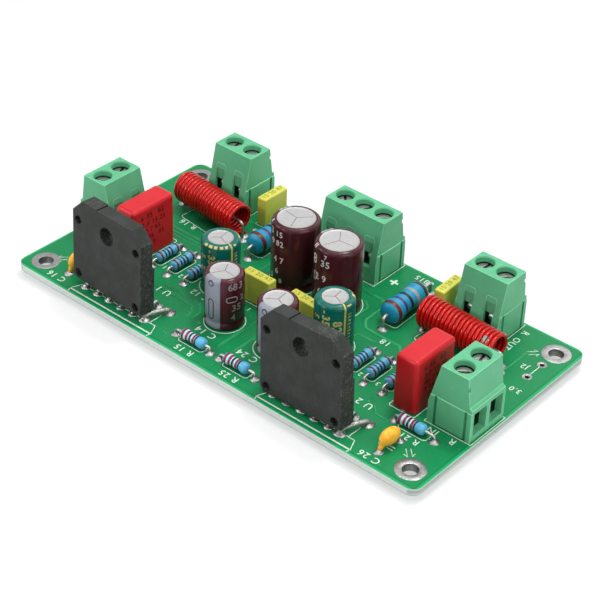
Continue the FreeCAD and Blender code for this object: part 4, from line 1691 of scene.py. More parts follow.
@dataclass
class ScrewTerminal:
    """A screw terminal: its moulded housing, slotted screws, clamp cages and contacts."""

    name: str
    place: Place
    slot_headings: tuple[float, ...]
    pitch: float = 5.08
    pin_back: float = 3.05
    head_radius: float = 1.75
    head_low: float = 11.35
    head_high: float = 12.7
    slot_width: float = 0.6
    slot_depth: float = 0.7
    shank_radius: float = 1.25
    shank_end: float = 6.25
    thread_pitch: float = 0.45
    outline: tuple[Spot, ...] = (
        (-5.3, 0.0), (-5.3, 5.0), (-3.2, 14.0), (2.9, 14.0), (3.75, 7.8), (4.4, 7.45), (4.5, 0.0),
    )
    past_end: float = 0.25
    panel_top: float = 6.7
    proud: float = 0.15
    grooves: Spot = (-3.65, 3.15)
    groove_half: float = 0.325
    groove_deep: float = 0.5
    foot: Spot = (0.45, 0.4)
    strip_thick: float = 0.45
    notch: Point = (3.2, 11.7, 0.42)
    entry_lit: float = 3.1
    arch: tuple[Spot, ...] = (
        (-1.25, 7.4), (-1.25, 9.8), (-0.9, 10.15), (0.9, 10.15), (1.25, 9.8), (1.25, 7.4),
    )
    strip_line: tuple[Spot, ...] = (
        (-3.05, -3.1), (-3.05, 3.6), (-3.3, 4.3), (-3.62, 4.8), (-3.72, 5.2), (-3.6, 5.55), (-3.3, 5.75),
        (-2.6, 5.85),
    )

    @property
    def poles(self) -> int:
        """How many screws the terminal has."""
        return len(self.slot_headings)

    def pole_along(self, i: int) -> float:
        """Give the place of a screw along the terminal."""
        return (i - (self.poles - 1) / 2.0) * self.pitch

    def in_shade(self, middle: Vector, normal: Vector) -> bool:
        """Tell whether a face of the housing lies deep inside it, where its shade is painted.

        Args:
            middle: The face's middle in millimetres.
            normal: Its normal, which doesn't matter here.

        Returns:
            Whether it does.
        """
        off = min(abs(middle.x - self.pole_along(i)) for i in range(self.poles))
        if middle.y < -2.05:
            return middle.y > -4.32 and off < 1.2 and 3.5 < middle.z < 6.6
        return middle.y < self.entry_lit - 0.02 and off < 2.2 and 0.45 < middle.z < 12.72

    def housing_master(self, finishes: Finishes) -> Piece:
        """Model the housing in its own frame, its entries towards +Y.

        Args:
            finishes: The finishes.

        Returns:
            The housing, with a painted highlight on its rounded edges and painted shade deep inside.
        """
        half = self.poles * self.pitch / 2.0 + self.past_end
        shell = plate("housing_master", self.outline, -half, half)
        for skin in (finishes.terminal, finishes.terminal_edge_highlight, finishes.terminal_painted_shade):
            shell.data.materials.append(skin)
        for end in (-1, 1):
            near, far = sorted((end * (half - self.proud), end * (half + 1.0)))
            cut_away(shell, block("relief", (near, -7.0, self.panel_top), (far, 7.0, 15.0)))
        # The rounded edges take slot 1, the paler green of a painted highlight.
        ease_edges(shell, 0.15, 2, 25.0, 1)
        for across in self.grooves:
            front, back = across - self.groove_half, across + self.groove_half
            near = (half - self.groove_deep, front, -1.0)
            cut_away(shell, block("groove", near, (half + 1.0, back, self.panel_top)))
            tongue = block("tongue", (-half - 0.35, across - 0.2, 0.0), (0.3 - half, across + 0.2, 6.5))
            cut_away(shell, ease_edges(tongue, 0.06, 1), "UNION")
        (deep, tall), (front, back) = self.foot, self.grooves
        cut_away(shell, block("foot", (half - deep, front, -1.0), (half + 1.0, back, tall)))
        across, up, reach = self.notch
        notch = turned("notch", [(reach, -0.5), (reach, 0.5)], 20)
        cut_away(shell, settle(notch, Matrix.Translation(Vector((half - self.proud, across, up)) * MM)))
        (low_y, low_z), (high_y, high_z) = self.outline[1:3]
        arches = []
        for i in range(self.poles):
            along = self.pole_along(i)
            for cutter in self.pole_cutters():
                cut_away(shell, settle(cutter, Matrix.Translation((along * MM, 0.0, 0.0))))
            slope = (high_y - low_y) / (high_z - low_z)
            arches.append([(along + x, low_y + (z - low_z) * slope + 0.05, z) for x, z in self.arch])
        # The deep faces take slot 2, a dark green that is painted shade.
        repaint(shell, self.in_shade, 2)
        smooth(shell, 30.0, True)
        # The raised arches are drawn in the same paler green, as a painted highlight.
        raised = coat(wires("arches", arches, 0.1, 4), finishes.terminal_edge_highlight)
        return joined("housing_master", [shell, raised])

    def pole_cutters(self) -> list[Piece]:
        """Model what is hollow about one screw: well, bore, cage room, wire entry and slots."""
        entry = taper("entry", (1.5, 1.5, 1.9, 5.4), (5.0, 2.025, 1.317, 6.683))
        with shaping(entry):
            slit((0.0, self.entry_lit, 0.0), (0.0, 1.0, 0.0))
        well = [(2.08, 11.3), (2.08, 12.7), (1.95, 12.76), (1.95, 13.78), (2.08, 13.96), (2.14, 15.0)]
        return [
            turned("well", well, 40),
            turned("bore", [(1.36, 10.2), (1.36, 11.9)], 24),
            block("cage_room", (-2.05, -2.0, 0.5), (2.05, 2.0, 10.7)),
            entry,
            block("test_slot", (-1.075, -6.3, 3.6), (1.075, -4.3, 9.0)),
            block("test_window", (-1.075, -6.3, 3.6), (1.075, 0.0, 6.5)),
            block("pin_slot", (-0.55, -3.35, -1.0), (0.55, -2.75, 4.1)),
        ]

    def screw_master(self) -> Piece:
        """Model the slotted screw with its thread, about Z."""
        profile = [(0.7, self.shank_end), (self.shank_radius - 0.22, self.shank_end + 0.18)]
        height = self.shank_end + 0.25
        while height < self.head_low - 0.9:
            profile.append((self.shank_radius - 0.2, height))
            profile.append((self.shank_radius, height + self.thread_pitch * 0.5))
            height += self.thread_pitch
        profile += [
            (self.shank_radius - 0.1, self.head_low - 0.7), (self.shank_radius - 0.1, self.head_low),
            (self.head_radius - 0.1, self.head_low), (self.head_radius, self.head_low + 0.1),
            (self.head_radius, self.head_high - 0.22), (self.head_radius - 0.07, self.head_high - 0.08),
            (self.head_radius - 0.24, self.head_high - 0.01), (0.7, self.head_high),
        ]
        screw = turned("screw_master", profile, 32)
        low = self.head_high - self.slot_depth
        half = self.slot_width / 2.0
        cut_away(screw, block("slot_cutter", (-3.0, -half, low), (3.0, half, self.head_high + 1.0)))
        return smooth(ease_edges(screw, 0.05, 2, 50.0), 40.0)

    def contact_master(self) -> Piece:
        """Model the contact: a strip that bends from the pin over to the clamped tongue."""
        line = self.strip_line
        outer, inner = [], []
        for (y1, z1), (y2, z2) in zip(line, line[1:]):
            run = math.hypot(y2 - y1, z2 - z1)
            side = Vector((-(z2 - z1), y2 - y1)) / run * (self.strip_thick / 2.0)
            middle = Vector(((y1 + y2) / 2.0, (z1 + z2) / 2.0))
            outer.append(tuple(middle + side))
            inner.append(tuple(middle - side))
        (y1, z1), thick = line[0], self.strip_thick / 2.0
        outer.insert(0, (y1 - thick, z1))
        inner.insert(0, (y1 + thick, z1))
        leg = plate("contact_leg", [*outer, *reversed(inner)], -0.5, 0.5)
        tongue = block("contact_tongue", (-0.8, -3.0, 5.6), (0.8, 1.7, 6.1))
        return smooth(joined("contact_master", [ease_edges(leg, 0.06), ease_edges(tongue, 0.06)]), 50.0)

    def contact_pieces(self, master: Piece) -> list[Piece]:
        """Place a copy of the contact at every screw.

        Args:
            master: The modelled contact, in its own frame.

        Returns:
            The placed copies.
        """
        heading = self.place[2]
        spots = [turned_spot(self.place, self.pole_along(i)) for i in range(self.poles)]
        return [settle(twin(master, "contact"), stand(x, y, heading)) for x, y in spots]

    def build(self, finishes: Finishes, housing: Piece, master: Piece, joints: Joints) -> None:
        """Dress the terminal.

        Args:
            finishes: The finishes.
            housing: The modelled housing, in its own frame.
            master: The modelled screw, about Z.
            joints: Takes the pins' places.
        """
        shell = settle(twin(housing, self.name + "_shell"), stand(*self.place))
        seat(shell, ROOT, [self.name + "_housing"])
        for i, heading in enumerate(self.slot_headings):
            along = self.pole_along(i)
            x, y = turned_spot(self.place, along)
            screw = twin(master, f"{self.name}_slotted_screw_{i + 1}")
            body = f"{self.name}_screw_{i + 1}"
            seat(coat(settle(screw, stand(x, y, heading)), finishes.screw), body, [body])
            coat(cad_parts[f"{self.name}_clamp_{i + 1}"], finishes.nickel)
            joints.add(*turned_spot(self.place, along, -self.pin_back), 0.5, False)


@dataclass
class PowerChip:
    """A moulded power package on eleven bent leads."""

    side: Side
    at: tuple[float, float, float, float, float, float]
    width: float = 20.0
    height: float = 18.6
    chamfer: Spot = (2.7, 2.9)
    tab: float = 3.1
    thick: float = 4.0
    body_height: float = 9.8
    inset: float = 0.35
    hole_radius: float = 1.95
    hole_height: float = 13.7
    dimple_radius: float = 1.0
    dimple_depth: float = 0.9
    dimple_inset: float = 1.54
    dimple_heights: Spot = (1.35, 13.8)
    step: float = 0.2
    step_from: float = 2.9
    face_y: float = -25.2
    lead_count: int = 11
    pitch: float = 1.7
    front_row: float = -23.9
    back_row: float = -18.82
    lead: Spot = (0.8, 0.5)
    nick: float = 1.0

    def pose(self) -> Matrix:
        """Give the move from the package's own frame to its place, in metres."""
        x, height, turn, lean, tilt, _ = self.at
        place = Matrix.Translation(Vector((x, self.face_y, BOARD_TOP + height)) * MM)
        for angle, axis in ((turn, "Z"), (lean, "Y"), (-tilt, "X")):
            place = place @ Matrix.Rotation(math.radians(angle), 4, axis)
        return place

    def moulding(self, finishes: Finishes) -> Piece:
        """Model the moulded body in its own frame.

        Args:
            finishes: The finishes.

        Returns:
            The body, its hole and pits in a darker finish that is painted shade.
        """
        half = self.width / 2.0
        body = block("chip_body", (-half, 0.0, 0.0), (half, self.tab, self.height))
        cut_x, cut_z = self.chamfer
        for end in (-1, 1):
            with shaping(body):
                slit((end * half, 0.0, self.height - cut_z), (end * cut_z, 0.0, cut_x), True)
        rim = block(
            "step_cutter", (-self.step_from, -1.0, self.height - self.step),
            (half + 1.0, self.tab + 1.0, self.height + 1.0),
        )
        cut_away(body, rim)
        back = block("back_body", (-half, self.tab - 0.3, 0.0), (half, self.thick, self.body_height))
        with shaping(back):
            pick_faces(back, lambda middle, normal: normal.y > 0.9)
            keep_x = (half - self.inset) / half
            keep_z = (self.body_height - self.inset) / self.body_height
            bpy.ops.transform.resize(value=(keep_x, 1.0, keep_z), center_override=(0.0, 0.0, 0.0))
        cut_away(body, back, "UNION")
        drill = turned("drill", [(self.hole_radius, -6.0), (self.hole_radius, 2.0)], 40)
        tip = Matrix.Rotation(math.pi / 2, 4, "X")
        cut_away(body, settle(drill, Matrix.Translation((0, 0, self.hole_height * MM)) @ tip))
        across = half - self.dimple_inset
        dimples = [(u, w) for u in (-across, across) for w in self.dimple_heights]
        narrow, wide = self.dimple_radius - 0.12, self.dimple_radius
        for u, w in dimples:
            pit = turned("pit", [(narrow, -self.dimple_depth), (wide, 1.0)], 24)
            cut_away(body, settle(pit, Matrix.Translation(Vector((u, 0, w)) * MM) @ tip))
        with shaping(body):
            slit((-half, 0.0, self.nick), (-1.0, 0.0, -0.8), True)
        ease_edges(body, 0.1, 2, 35.0)
        near = (-self.step_from - 0.02, -1.0, self.height - 0.42)
        far = (-self.step_from + 0.14, self.tab + 1.0, self.height + 1.0)
        cut_away(body, block("groove", near, far))
        foot = (self.at[0], 0.0, BOARD_TOP + self.at[1])
        skin = ChipMouldFinish(self.side.value + "_chip_mould", foot=foot, lean=self.at[3])
        body.data.materials.append(skin.make())
        body.data.materials.append(finishes.chip_pit_shade)
        dark = [(0.0, self.hole_height, self.hole_radius), *((u, w, wide) for u, w in dimples)]

        def in_pit(middle: Vector, normal: Vector) -> bool:
            """Tell whether a face lies in the hole or in a pit.

            Args:
                middle: The face's middle in millimetres.
                normal: Its normal, which doesn't matter here.

            Returns:
                Whether it does.
            """
            reach = min(math.hypot(middle.x - u, middle.z - w) - r for u, w, r in dark)
            return reach < 0.02 and 0.15 < middle.y < self.thick - 0.15

        # The hole and pit faces take slot 1, painted shade.
        repaint(body, in_pit, 1)
        return smooth(body, 35.0, True)

    def build(self, finishes: Finishes, joints: Joints) -> None:
        """Dress the package.

        Args:
            finishes: The finishes.
            joints: Takes the leads' places.
        """
        pose = self.pose()
        body = settle(self.moulding(finishes), pose)
        paths = []
        for i in range(self.lead_count):
            u = (i - self.lead_count // 2) * self.pitch
            foot_y = self.back_row if i % 2 == 0 else self.front_row
            foot_x = self.at[5] + u
            joints.add(foot_x, foot_y, 0.4)
            inside = pose @ (Vector((u, self.tab * 0.7, 0.8)) * MM) / MM
            out = pose @ (Vector((u, self.tab * 0.7, -0.15)) * MM) / MM
            path = [tuple(inside), tuple(out)]
            if i % 2 == 0:
                path.append((foot_x, out.y + 0.5, out.z - 0.35))
                path.append((foot_x, foot_y, BOARD_TOP + 1.25))
            path += [(foot_x, foot_y, BOARD_TOP + 0.5), (foot_x, foot_y, TAIL_LEVEL)]
            paths.append(rounded(path, 0.45, 3))
        leads = coat(wires("leads", paths, 0.4, 4, self.lead), finishes.tin)
        whole = joined(self.side.value + "_chip_package", [body, leads])
        seat(whole, ROOT, [self.side.value + "_power_chip"])


@dataclass(frozen=True)
class Mark:
    """One printed mark on a can: plain words, or a ring with rounded ends where they are empty."""

    heading: float
    height: float
    words: str = ""
    cap: float = 1.3
    turn: float = 0.0
    ring: Spot = (2.2, 1.1)
    line: float = 0.2
    hollow: float = 0.0

    def build(self, radius: float) -> Piece:
        """Print the mark round an upright can.

        Args:
            radius: The can's radius in millimetres.

        Returns:
            The mark, about the can's axis.
        """
        if self.words:
            bold = 0.0 if self.hollow else 0.03
            flat = lettering("mark", self.words, self.cap, 0.03, bold, self.hollow)
        else:
            flat = outlined("mark", *self.ring, self.line)
        settle(flat, Matrix.Rotation(math.radians(self.turn), 4, "Z"))
        return wrap_round(flat, radius + 0.012, self.heading, self.height)


class CanKind(Enum):
    """The three kinds of electrolytic can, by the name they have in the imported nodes."""

    SUPPLY = "supply_electrolytic"
    MUTE = "mute_electrolytic"
    FEEDBACK = "feedback_electrolytic"


@dataclass
class Electrolytic:
    """An upright electrolytic capacitor: a shrunk sleeve rolled over a scored can top."""

    side: Side
    kind: CanKind
    at: Spot
    sleeve: SleeveFinish
    radius: float
    height: float
    disc: float
    lead_pitch: float
    marks: tuple[Mark, ...] = ()
    mark_ink: str = "pale_print"
    shoulder_marks: tuple[tuple[float, float, float], ...] = ()
    shoulder: float = 1.0
    lift: float = 0.2
    score_turn: float = 20.0

    def sleeve_piece(self) -> Piece:
        """Model the sleeve about Z, rolled in over the top and under the base."""
        r, low, high, roll = self.radius, self.lift, self.height, self.shoulder
        profile = [
            (r - 0.7, low + 0.1), (r - 0.3, low), (r - 0.05, low + 0.2), (r, low + 0.5), (r, 1.35),
            (r - 0.2, 1.6), (r - 0.26, 1.85), (r - 0.2, 2.1), (r, 2.4), (r, high * 0.5),
        ]
        for step in range(7):
            angle = math.pi / 2.0 * step / 6.0
            profile.append((r - roll + roll * math.cos(angle), high - roll + roll * math.sin(angle)))
        profile += [(self.disc + 0.12, high - 0.03), (self.disc, high - 0.14), (self.disc - 0.02, high - 0.4)]
        return wrap_map(smooth(turned("sleeve", profile, 56), 60.0))

    def top_piece(self, finishes: Finishes) -> Piece:
        """Model the bare can top: a fine rim and three scored rays, their grooves darkened as painted shade.

        Args:
            finishes: The finishes.

        Returns:
            The top, about the can's axis.
        """
        high = self.height - 0.16
        wide = self.disc + 0.04
        profile = [
            (wide, high - 0.3), (wide, high + 0.03), (wide - 0.06, high + 0.09), (wide - 0.15, high + 0.09),
            (wide - 0.25, high + 0.02), (wide - 0.4, high), (wide * 0.5, high + 0.03), (0.3, high + 0.04),
        ]
        top = turned("can_top", profile, 56)
        for k in range(3):
            ray = block("ray", (0.0, -0.06, high - 0.1), (self.disc * 0.87, 0.06, high + 1.0))
            turn = math.radians(self.score_turn + 120.0 * k)
            cut_away(top, settle(ray, Matrix.Rotation(turn, 4, "Z")))
        smooth(top, 40.0)
        top.data.materials.append(finishes.can_top)
        top.data.materials.append(finishes.can_score_shade)
        inner = self.disc * 0.9

        def scored(middle: Vector, normal: Vector) -> bool:
            """Tell whether a face lies in a scored ray."""
            return middle.z < high - 0.02 and math.hypot(middle.x, middle.y) < inner

        # The faces in the scored rays take slot 1, a darker metal that is painted shade.
        repaint(top, scored, 1)
        return top

    def shoulder_bar(self, start: float, end: float, wide: float) -> Piece:
        """Print a bar on the rolled shoulder.

        Args:
            start: Where it starts round the can, in degrees from +X.
            end: Where it ends.
            wide: How far down the roll it reaches, in degrees of the roll.

        Returns:
            The bar, about the can's axis.
        """
        count = max(2, int(abs(end - start) / 6.0) + 1)
        nothing()
        bpy.ops.mesh.primitive_grid_add(x_subdivisions=count, y_subdivisions=5, size=2.0)
        bar = bpy.context.object
        reach = self.shoulder + 0.015
        for vertex in bar.data.vertices:
            heading = math.radians(start + (end - start) * (vertex.co.x + 1.0) / 2.0)
            roll = math.radians(45.0 + wide * vertex.co.y / 2.0)
            out = self.radius - self.shoulder + reach * math.cos(roll)
            high = self.height - self.shoulder + reach * math.sin(roll)
            vertex.co = Vector((out * math.cos(heading), out * math.sin(heading), high)) * MM
        return bar

    def build(self, finishes: Finishes, joints: Joints) -> None:
        """Dress the capacitor.

        Args:
            finishes: The finishes.
            joints: Takes the leads' places.
        """
        ink = getattr(finishes, self.mark_ink)
        parts = [coat(self.sleeve_piece(), self.sleeve.make()), self.top_piece(finishes)]
        parts += [coat(mark.build(self.radius), ink) for mark in self.marks]
        parts += [coat(self.shoulder_bar(*bar), ink) for bar in self.shoulder_marks]
        paths = straight_pair(self.lead_pitch, self.lift + 0.3)
        parts.append(run_leads((*self.at, 0.0), paths, LEAD_RADIUS, finishes, joints, False))
        whole = joined(f"{self.side.value}_{self.kind.value}_can", parts)
        settle(whole, stand(*self.at))
        seat(whole, ROOT, [f"{self.side.value}_{self.kind.value}"])


@dataclass
class BoxCapacitor:
    """A moulded film capacitor with eased edges and two leads."""

    name: str
    place: Place
    size: Point
    edge: float
    steps: int
    lead_pitch: float
    case: str
    ink: str
    slot: Slot
    side_marks: tuple[tuple[str, float, float, float], ...] = ()
    top_marks: tuple[tuple[str, float, float], ...] = ()
    lift: float = 0.2

    def build(self, finishes: Finishes, joints: Joints) -> None:
        """Dress the capacitor.

        Args:
            finishes: The finishes.
            joints: Takes the leads' places.
        """
        length, width, height = self.size
        case = block("case", (-length / 2, -width / 2, self.lift), (length / 2, width / 2, height))
        low = self.lift + 0.01
        with shaping(case):
            pick_edges(case, lambda a, b: not (a.z < low and b.z < low))
            bpy.ops.mesh.bevel(offset=self.edge * MM, segments=self.steps, affect="EDGES", profile=0.5)
            pick_edges(case, lambda a, b: a.z < low and b.z < low)
            bpy.ops.mesh.bevel(offset=0.12 * MM, segments=2, affect="EDGES", profile=0.5)
        parts = [coat(smooth(case, 40.0, True), getattr(finishes, self.case))]
        ink = getattr(finishes, self.ink)
        for words, along, up, cap in self.side_marks:
            mark = lettering("mark", words, cap, 0.03, 0.02)
            face = Matrix.Translation(Vector((along, -width / 2 - 0.005, up)) * MM)
            parts.append(coat(settle(mark, face @ Matrix.Rotation(math.pi / 2, 4, "X")), ink))
        for words, along, cap in self.top_marks:
            mark = lettering("mark", words, cap, 0.05)
            parts.append(coat(settle(mark, Matrix.Translation(Vector((along, 0, height)) * MM)), ink))
        paths = straight_pair(self.lead_pitch, self.lift + 0.3)
        parts.append(run_leads(self.place, paths, LEAD_RADIUS, finishes, joints))
        whole = settle(joined(self.name + "_case", parts), stand(*self.place))
        seat(whole, ROOT, [self.name])


@dataclass
class AxialResistor:
    """A banded resistor lying between two bent leads."""

    name: str
    place: Place
    length: float
    diameter: float
    pitch: float
    height: float
    wire: float
    lacquer: str
    stands_for: tuple[str, ...]
    waist: float = 0.87
    cap: float = 0.2
    along: float = 0.0

    def build(self, finishes: Finishes, lacquers: Mapping[str, bpy.types.Material], joints: Joints) -> Piece:
        """Dress the resistor.

        Args:
            finishes: The finishes.
            lacquers: The banded lacquers by name.
            joints: Takes the leads' places.

        Returns:
            The resistor, not yet seated.
        """
        r, half = self.diameter / 2.0, self.length / 2.0
        dome, bulge = r * 0.5, self.length * self.cap
        ends = [
            (self.wire * 0.75, -half), (r * 0.55, -half + dome * 0.12), (r * 0.82, -half + dome * 0.42),
            (r * 0.96, -half + dome * 0.85), (r, -half + dome * 1.3), (r, -half + bulge),
            (r * (self.waist + 0.03), -half + bulge * 1.35), (r * self.waist, -half + bulge * 1.7),
        ]
        profile = ends + [(wide, -along) for wide, along in reversed(ends)]
        body = wrap_map(smooth(turned("resistor_body", profile, 28), 60.0))
        lift = Matrix.Translation((self.along * MM, 0, self.height * MM))
        settle(body, lift @ Matrix.Rotation(math.pi / 2, 4, "Y"))
        coat(body, lacquers[self.lacquer])
        paths = []
        for end in (-1, 1):
            foot, inside = end * self.pitch / 2.0, self.along + end * (half - 0.3)
            paths.append([(foot, 0.0, TAIL_END), (foot, 0.0, self.height), (inside, 0.0, self.height)])
        leads = run_leads(self.place, paths, self.wire / 2.0, finishes, joints, bend=(0.85, 5))
        return settle(joined(self.name + "_banded", [body, leads]), stand(*self.place))


@dataclass
class AirCoil:
    """An air coil of enamelled wire, wound side by side."""

    side: Side
    place: Place
    outer: float = 7.0
    wire: float = 0.92
    turns: int = 19
    gap: float = 0.045
    lift: float = 1.0
    leave: float = 0.45
    facets: int = 26
    scrape_at: Point = NOWHERE

    def build(self, joints: Joints) -> None:
        """Wind the coil.

        Args:
            joints: Takes the wire ends' places.
        """
        r = (self.outer - self.wire) / 2.0
        step = self.wire + self.gap
        half = self.turns * step / 2.0
        z = self.lift + self.outer / 2.0
        path: list[Point] = [(-half, r, TAIL_END), (-half, r, z - 0.4)]
        count = int((self.turns - 0.25) * self.facets)
        for k in range(count + 1):
            angle = 2.0 * math.pi * k / self.facets
            path.append((-half + step * k / self.facets, r * math.cos(angle), z + r * math.sin(angle)))
        end = path[-1]
        out_y = end[1] + self.leave * r
        x = end[0] + step / 8.0
        path += rounded([end, (x, out_y, end[2]), (x, out_y, TAIL_END)], 0.7, 5)[1:]
        coil = smooth(wires("coil", [path], self.wire / 2.0, 10), 80.0)
        for spot in (path[0], path[-1]):
            joints.add(*turned_spot(self.place, spot[0], spot[1]), self.wire / 2.0)
        settle(coil, stand(*self.place))
        coil.name = self.side.value + "_wound_coil"
        coat(coil, EnamelFinish(scrape_at=self.scrape_at).make())
        seat(coil, ROOT, [self.side.value + "_output_coil"])


@dataclass
class DippedCeramic:
    """A dipped disc capacitor whose coat runs down its leads."""

    side: Side
    place: Place
    width: float = 4.9
    height: float = 3.7
    thick: float = 2.5
    middle: float = 2.4
    pitch: float = 5.08
    skirt: Spot = (1.0, 0.35)
    voxel: float = 0.14

    def build(self, finishes: Finishes, joints: Joints) -> Piece:
        """Model the capacitor.

        Args:
            finishes: The finishes.
            joints: Takes the leads' places.

        Returns:
            The capacitor, not yet seated.
        """
        nothing()
        bpy.ops.mesh.primitive_uv_sphere_add(segments=32, ring_count=20, radius=1.0)
        bead = bpy.context.object
        size = (self.width / 2 * MM, self.thick / 2 * MM, self.height / 2 * MM, 1.0)
        settle(bead, Matrix.Translation((0, 0, self.middle * MM)) @ Matrix.Diagonal(size))
        for end, run in zip((-1, 1), self.skirt):
            foot = Vector((end * self.pitch / 2.0, 0.0, 0.35 + (1.0 - run)))
            root = Vector((end * self.width * 0.24, 0.0, self.middle - 0.2))
            along = root - foot
            rings = [(0.36, 0.0), (0.44, 0.25), (0.62, 0.6 * along.length), (1.05, along.length)]
            cone = turned("skirt", rings, 20)
            aim = Matrix.Translation(foot * MM) @ along.to_track_quat("Z", "Y").to_matrix().to_4x4()
            cut_away(bead, settle(cone, aim), "UNION")
        modify(bead, "REMESH", mode="VOXEL", voxel_size=self.voxel * MM)
        modify(bead, "SMOOTH", iterations=6)
        coat(smooth(bead, 80.0), finishes.ceramic)
        paths = []
        for end in (-1, 1):
            foot, inside = end * self.pitch / 2.0, end * self.width * 0.3
            paths.append([(foot, 0, TAIL_END), (foot, 0, 0.5), (inside, 0, self.middle - 0.5)])
        leads = run_leads(self.place, paths, LEAD_RADIUS, finishes, joints, bend=(0.4, 4))
        return settle(joined(self.side.value + "_bead", [bead, leads]), stand(*self.place))


@dataclass
class WireLink:
    """A bare solder-covered wire between two holes."""

    ends: tuple[Spot, Spot]
    radius: float = 0.5
    height: float = 1.2

    def build(self, finishes: Finishes, joints: Joints) -> Piece:
        """Bend the link.

        Args:
            finishes: The finishes.
            joints: Takes the ends' places.

        Returns:
            The link, not yet seated.
        """
        (x1, y1), (x2, y2) = self.ends
        for x, y in self.ends:
            joints.add(x, y, self.radius)
        top = BOARD_TOP + self.height
        path = [
            (x1, y1, TAIL_LEVEL), (x1, y1, top - 0.2), (x1 * 0.65 + x2 * 0.35, y1 * 0.65 + y2 * 0.35, top),
            (x1 * 0.3 + x2 * 0.7, y1 * 0.3 + y2 * 0.7, top - 0.05), (x2, y2, top - 0.3), (x2, y2, TAIL_LEVEL),
        ]
        return coat(smooth(wires("link", [rounded(path, 0.8, 5)], self.radius, 12), 80.0), finishes.link)


# Places on the board, the same as the solids', and turns in degrees.

RESISTOR_PLACES: dict[str, Place] = {
    "left_feedback_resistor_1": (-30.5, -5.1, 90.0),
    "left_feedback_resistor_2": (-26.1, -5.1, 90.0),
    "left_feedback_resistor_3": (-21.45, -5.1, 90.0),
    "right_feedback_resistor_1": (21.95, -5.1, 90.0),
    "right_feedback_resistor_2": (26.15, -5.2, 90.0),
    "right_feedback_resistor_3": (30.6, -5.1, 90.0),
    "left_mute_resistor": (-6.0, -22.9, 0.0),
    "right_mute_resistor": (5.8, -22.95, 0.0),
    "left_input_resistor": (-41.9, -14.3, 0.0),
    "right_input_resistor": (41.9, -14.3, 0.0),
}
POWER_RESISTOR_PLACES: dict[Side, Place] = {
    Side.LEFT: (-17.95, 14.3, 90.0),
    Side.RIGHT: (17.75, 14.3, 92.0),
}
BIG_CAN_PLACES: dict[Side, Spot] = {Side.LEFT: (-5.75, 6.9), Side.RIGHT: (5.85, 6.45)}
SMALL_CAN_PLACES: dict[Side, Spot] = {Side.LEFT: (-6.9, -12.95), Side.RIGHT: (6.98, -12.9)}
TEAL_CAN_PLACES: dict[Side, Spot] = {Side.LEFT: (-15.5, -4.87), Side.RIGHT: (14.3, -4.73)}
RED_CAP_PLACES: dict[Side, Place] = {Side.LEFT: (-36.4, -5.5, 90.0), Side.RIGHT: (36.6, -5.15, 90.0)}
YELLOW_CAP_PLACES: dict[str, Place] = {
    "left_output": (-24.6, 21.1, 90.0),
    "right_output": (23.6, 20.0, 92.0),
    "left_supply": (-5.9, -3.85, 0.0),
    "right_supply": (5.9, -3.55, -3.0),
}
CERAMIC_PLACES: dict[Side, Place] = {Side.LEFT: (-41.0, -20.6, 90.0), Side.RIGHT: (41.15, -20.8, 82.2)}
COIL_PLACES: dict[Side, Place] = {Side.LEFT: (-33.5, 11.85, -6.0), Side.RIGHT: (33.15, 11.7, -2.8)}
SCRAPE_PLACES: dict[Side, Point] = {Side.LEFT: NOWHERE, Side.RIGHT: (40.03, 9.21, 8.86)}
TERMINAL_PLACES: dict[str, tuple[Place, tuple[float, ...]]] = {
    "supply_terminal": ((-0.47, 22.15, 0.0), (130.0, 69.0, 40.0)),
    "left_output_terminal": ((-34.3, 22.3, 0.0), (100.0, 52.0)),
    "right_output_terminal": ((32.65, 22.0, 0.0), (86.0, 42.0)),
    "left_input_terminal": ((-47.1, -4.6, 90.0), (60.0, 118.0)),
    "right_input_terminal": ((47.05, -5.2, -90.0), (104.0, 40.0)),
}
CHIP_PLACES: dict[Side, tuple[float, float, float, float, float, float]] = {
    Side.LEFT: (-27.8, 2.05, -2.6, 0.0, 2.7, -28.24),
    Side.RIGHT: (23.4, 1.15, -1.3, -4.0, 3.3, 22.82),
}
LINK_ENDS: tuple[tuple[Spot, Spot], ...] = (
    ((-18.5, -23.75), (-16.3, -18.8)),
    ((32.35, -24.2), (34.7, -18.6)),
)

BLACK: Paint = (34, 26, 30)
BROWN: Paint = (96, 34, 22)
DARK_RED: Paint = (136, 22, 30)
VIOLET: Paint = (52, 42, 120)
SILVER: Paint = (142, 146, 148)
LIGHT_BLUE: Paint = (92, 176, 216)
BLUE: Paint = (32, 144, 182)
PALE_BLUE: Paint = (178, 214, 230)


def lacquers() -> dict[str, bpy.types.Material]:
    """Build the banded lacquers of the three resistor kinds and the plain one in the coils."""
    kinds = {
        "feedback": (LIGHT_BLUE, (
            (-2.3, 0.5, BROWN), (-1.2, 0.45, BLACK), (-0.3, 0.45, BLACK), (0.6, 0.45, BLACK),
            (2.2, 0.5, BROWN),
        )),
        "mute": (LIGHT_BLUE, (
            (-1.75, 0.4, PALE_BLUE), (-0.85, 0.3, PALE_BLUE), (-0.02, 0.34, PALE_BLUE),
            (-2.25, 0.55, DARK_RED), (-1.25, 0.5, DARK_RED), (-0.45, 0.5, BLACK), (0.42, 0.5, DARK_RED),
            (1.0, 0.4, BLACK),
        )),
        "power": (BLUE, (
            (-4.5, 0.9, BROWN), (-2.1, 0.8, VIOLET), (-0.1, 0.8, BLACK), (2.0, 0.8, SILVER),
            (4.4, 1.0, BLACK),
        )),
        "inner": (BLUE, ((-3.2, 0.7, BROWN), (3.2, 0.7, BLACK))),
    }
    return {kind: LacquerFinish(kind + "_lacquer", *look).make() for kind, look in kinds.items()}


@dataclass(frozen=True)
class Lamp:
    """One soft lamp."""

    name: str
    at: Point
    size: float
    watts: float


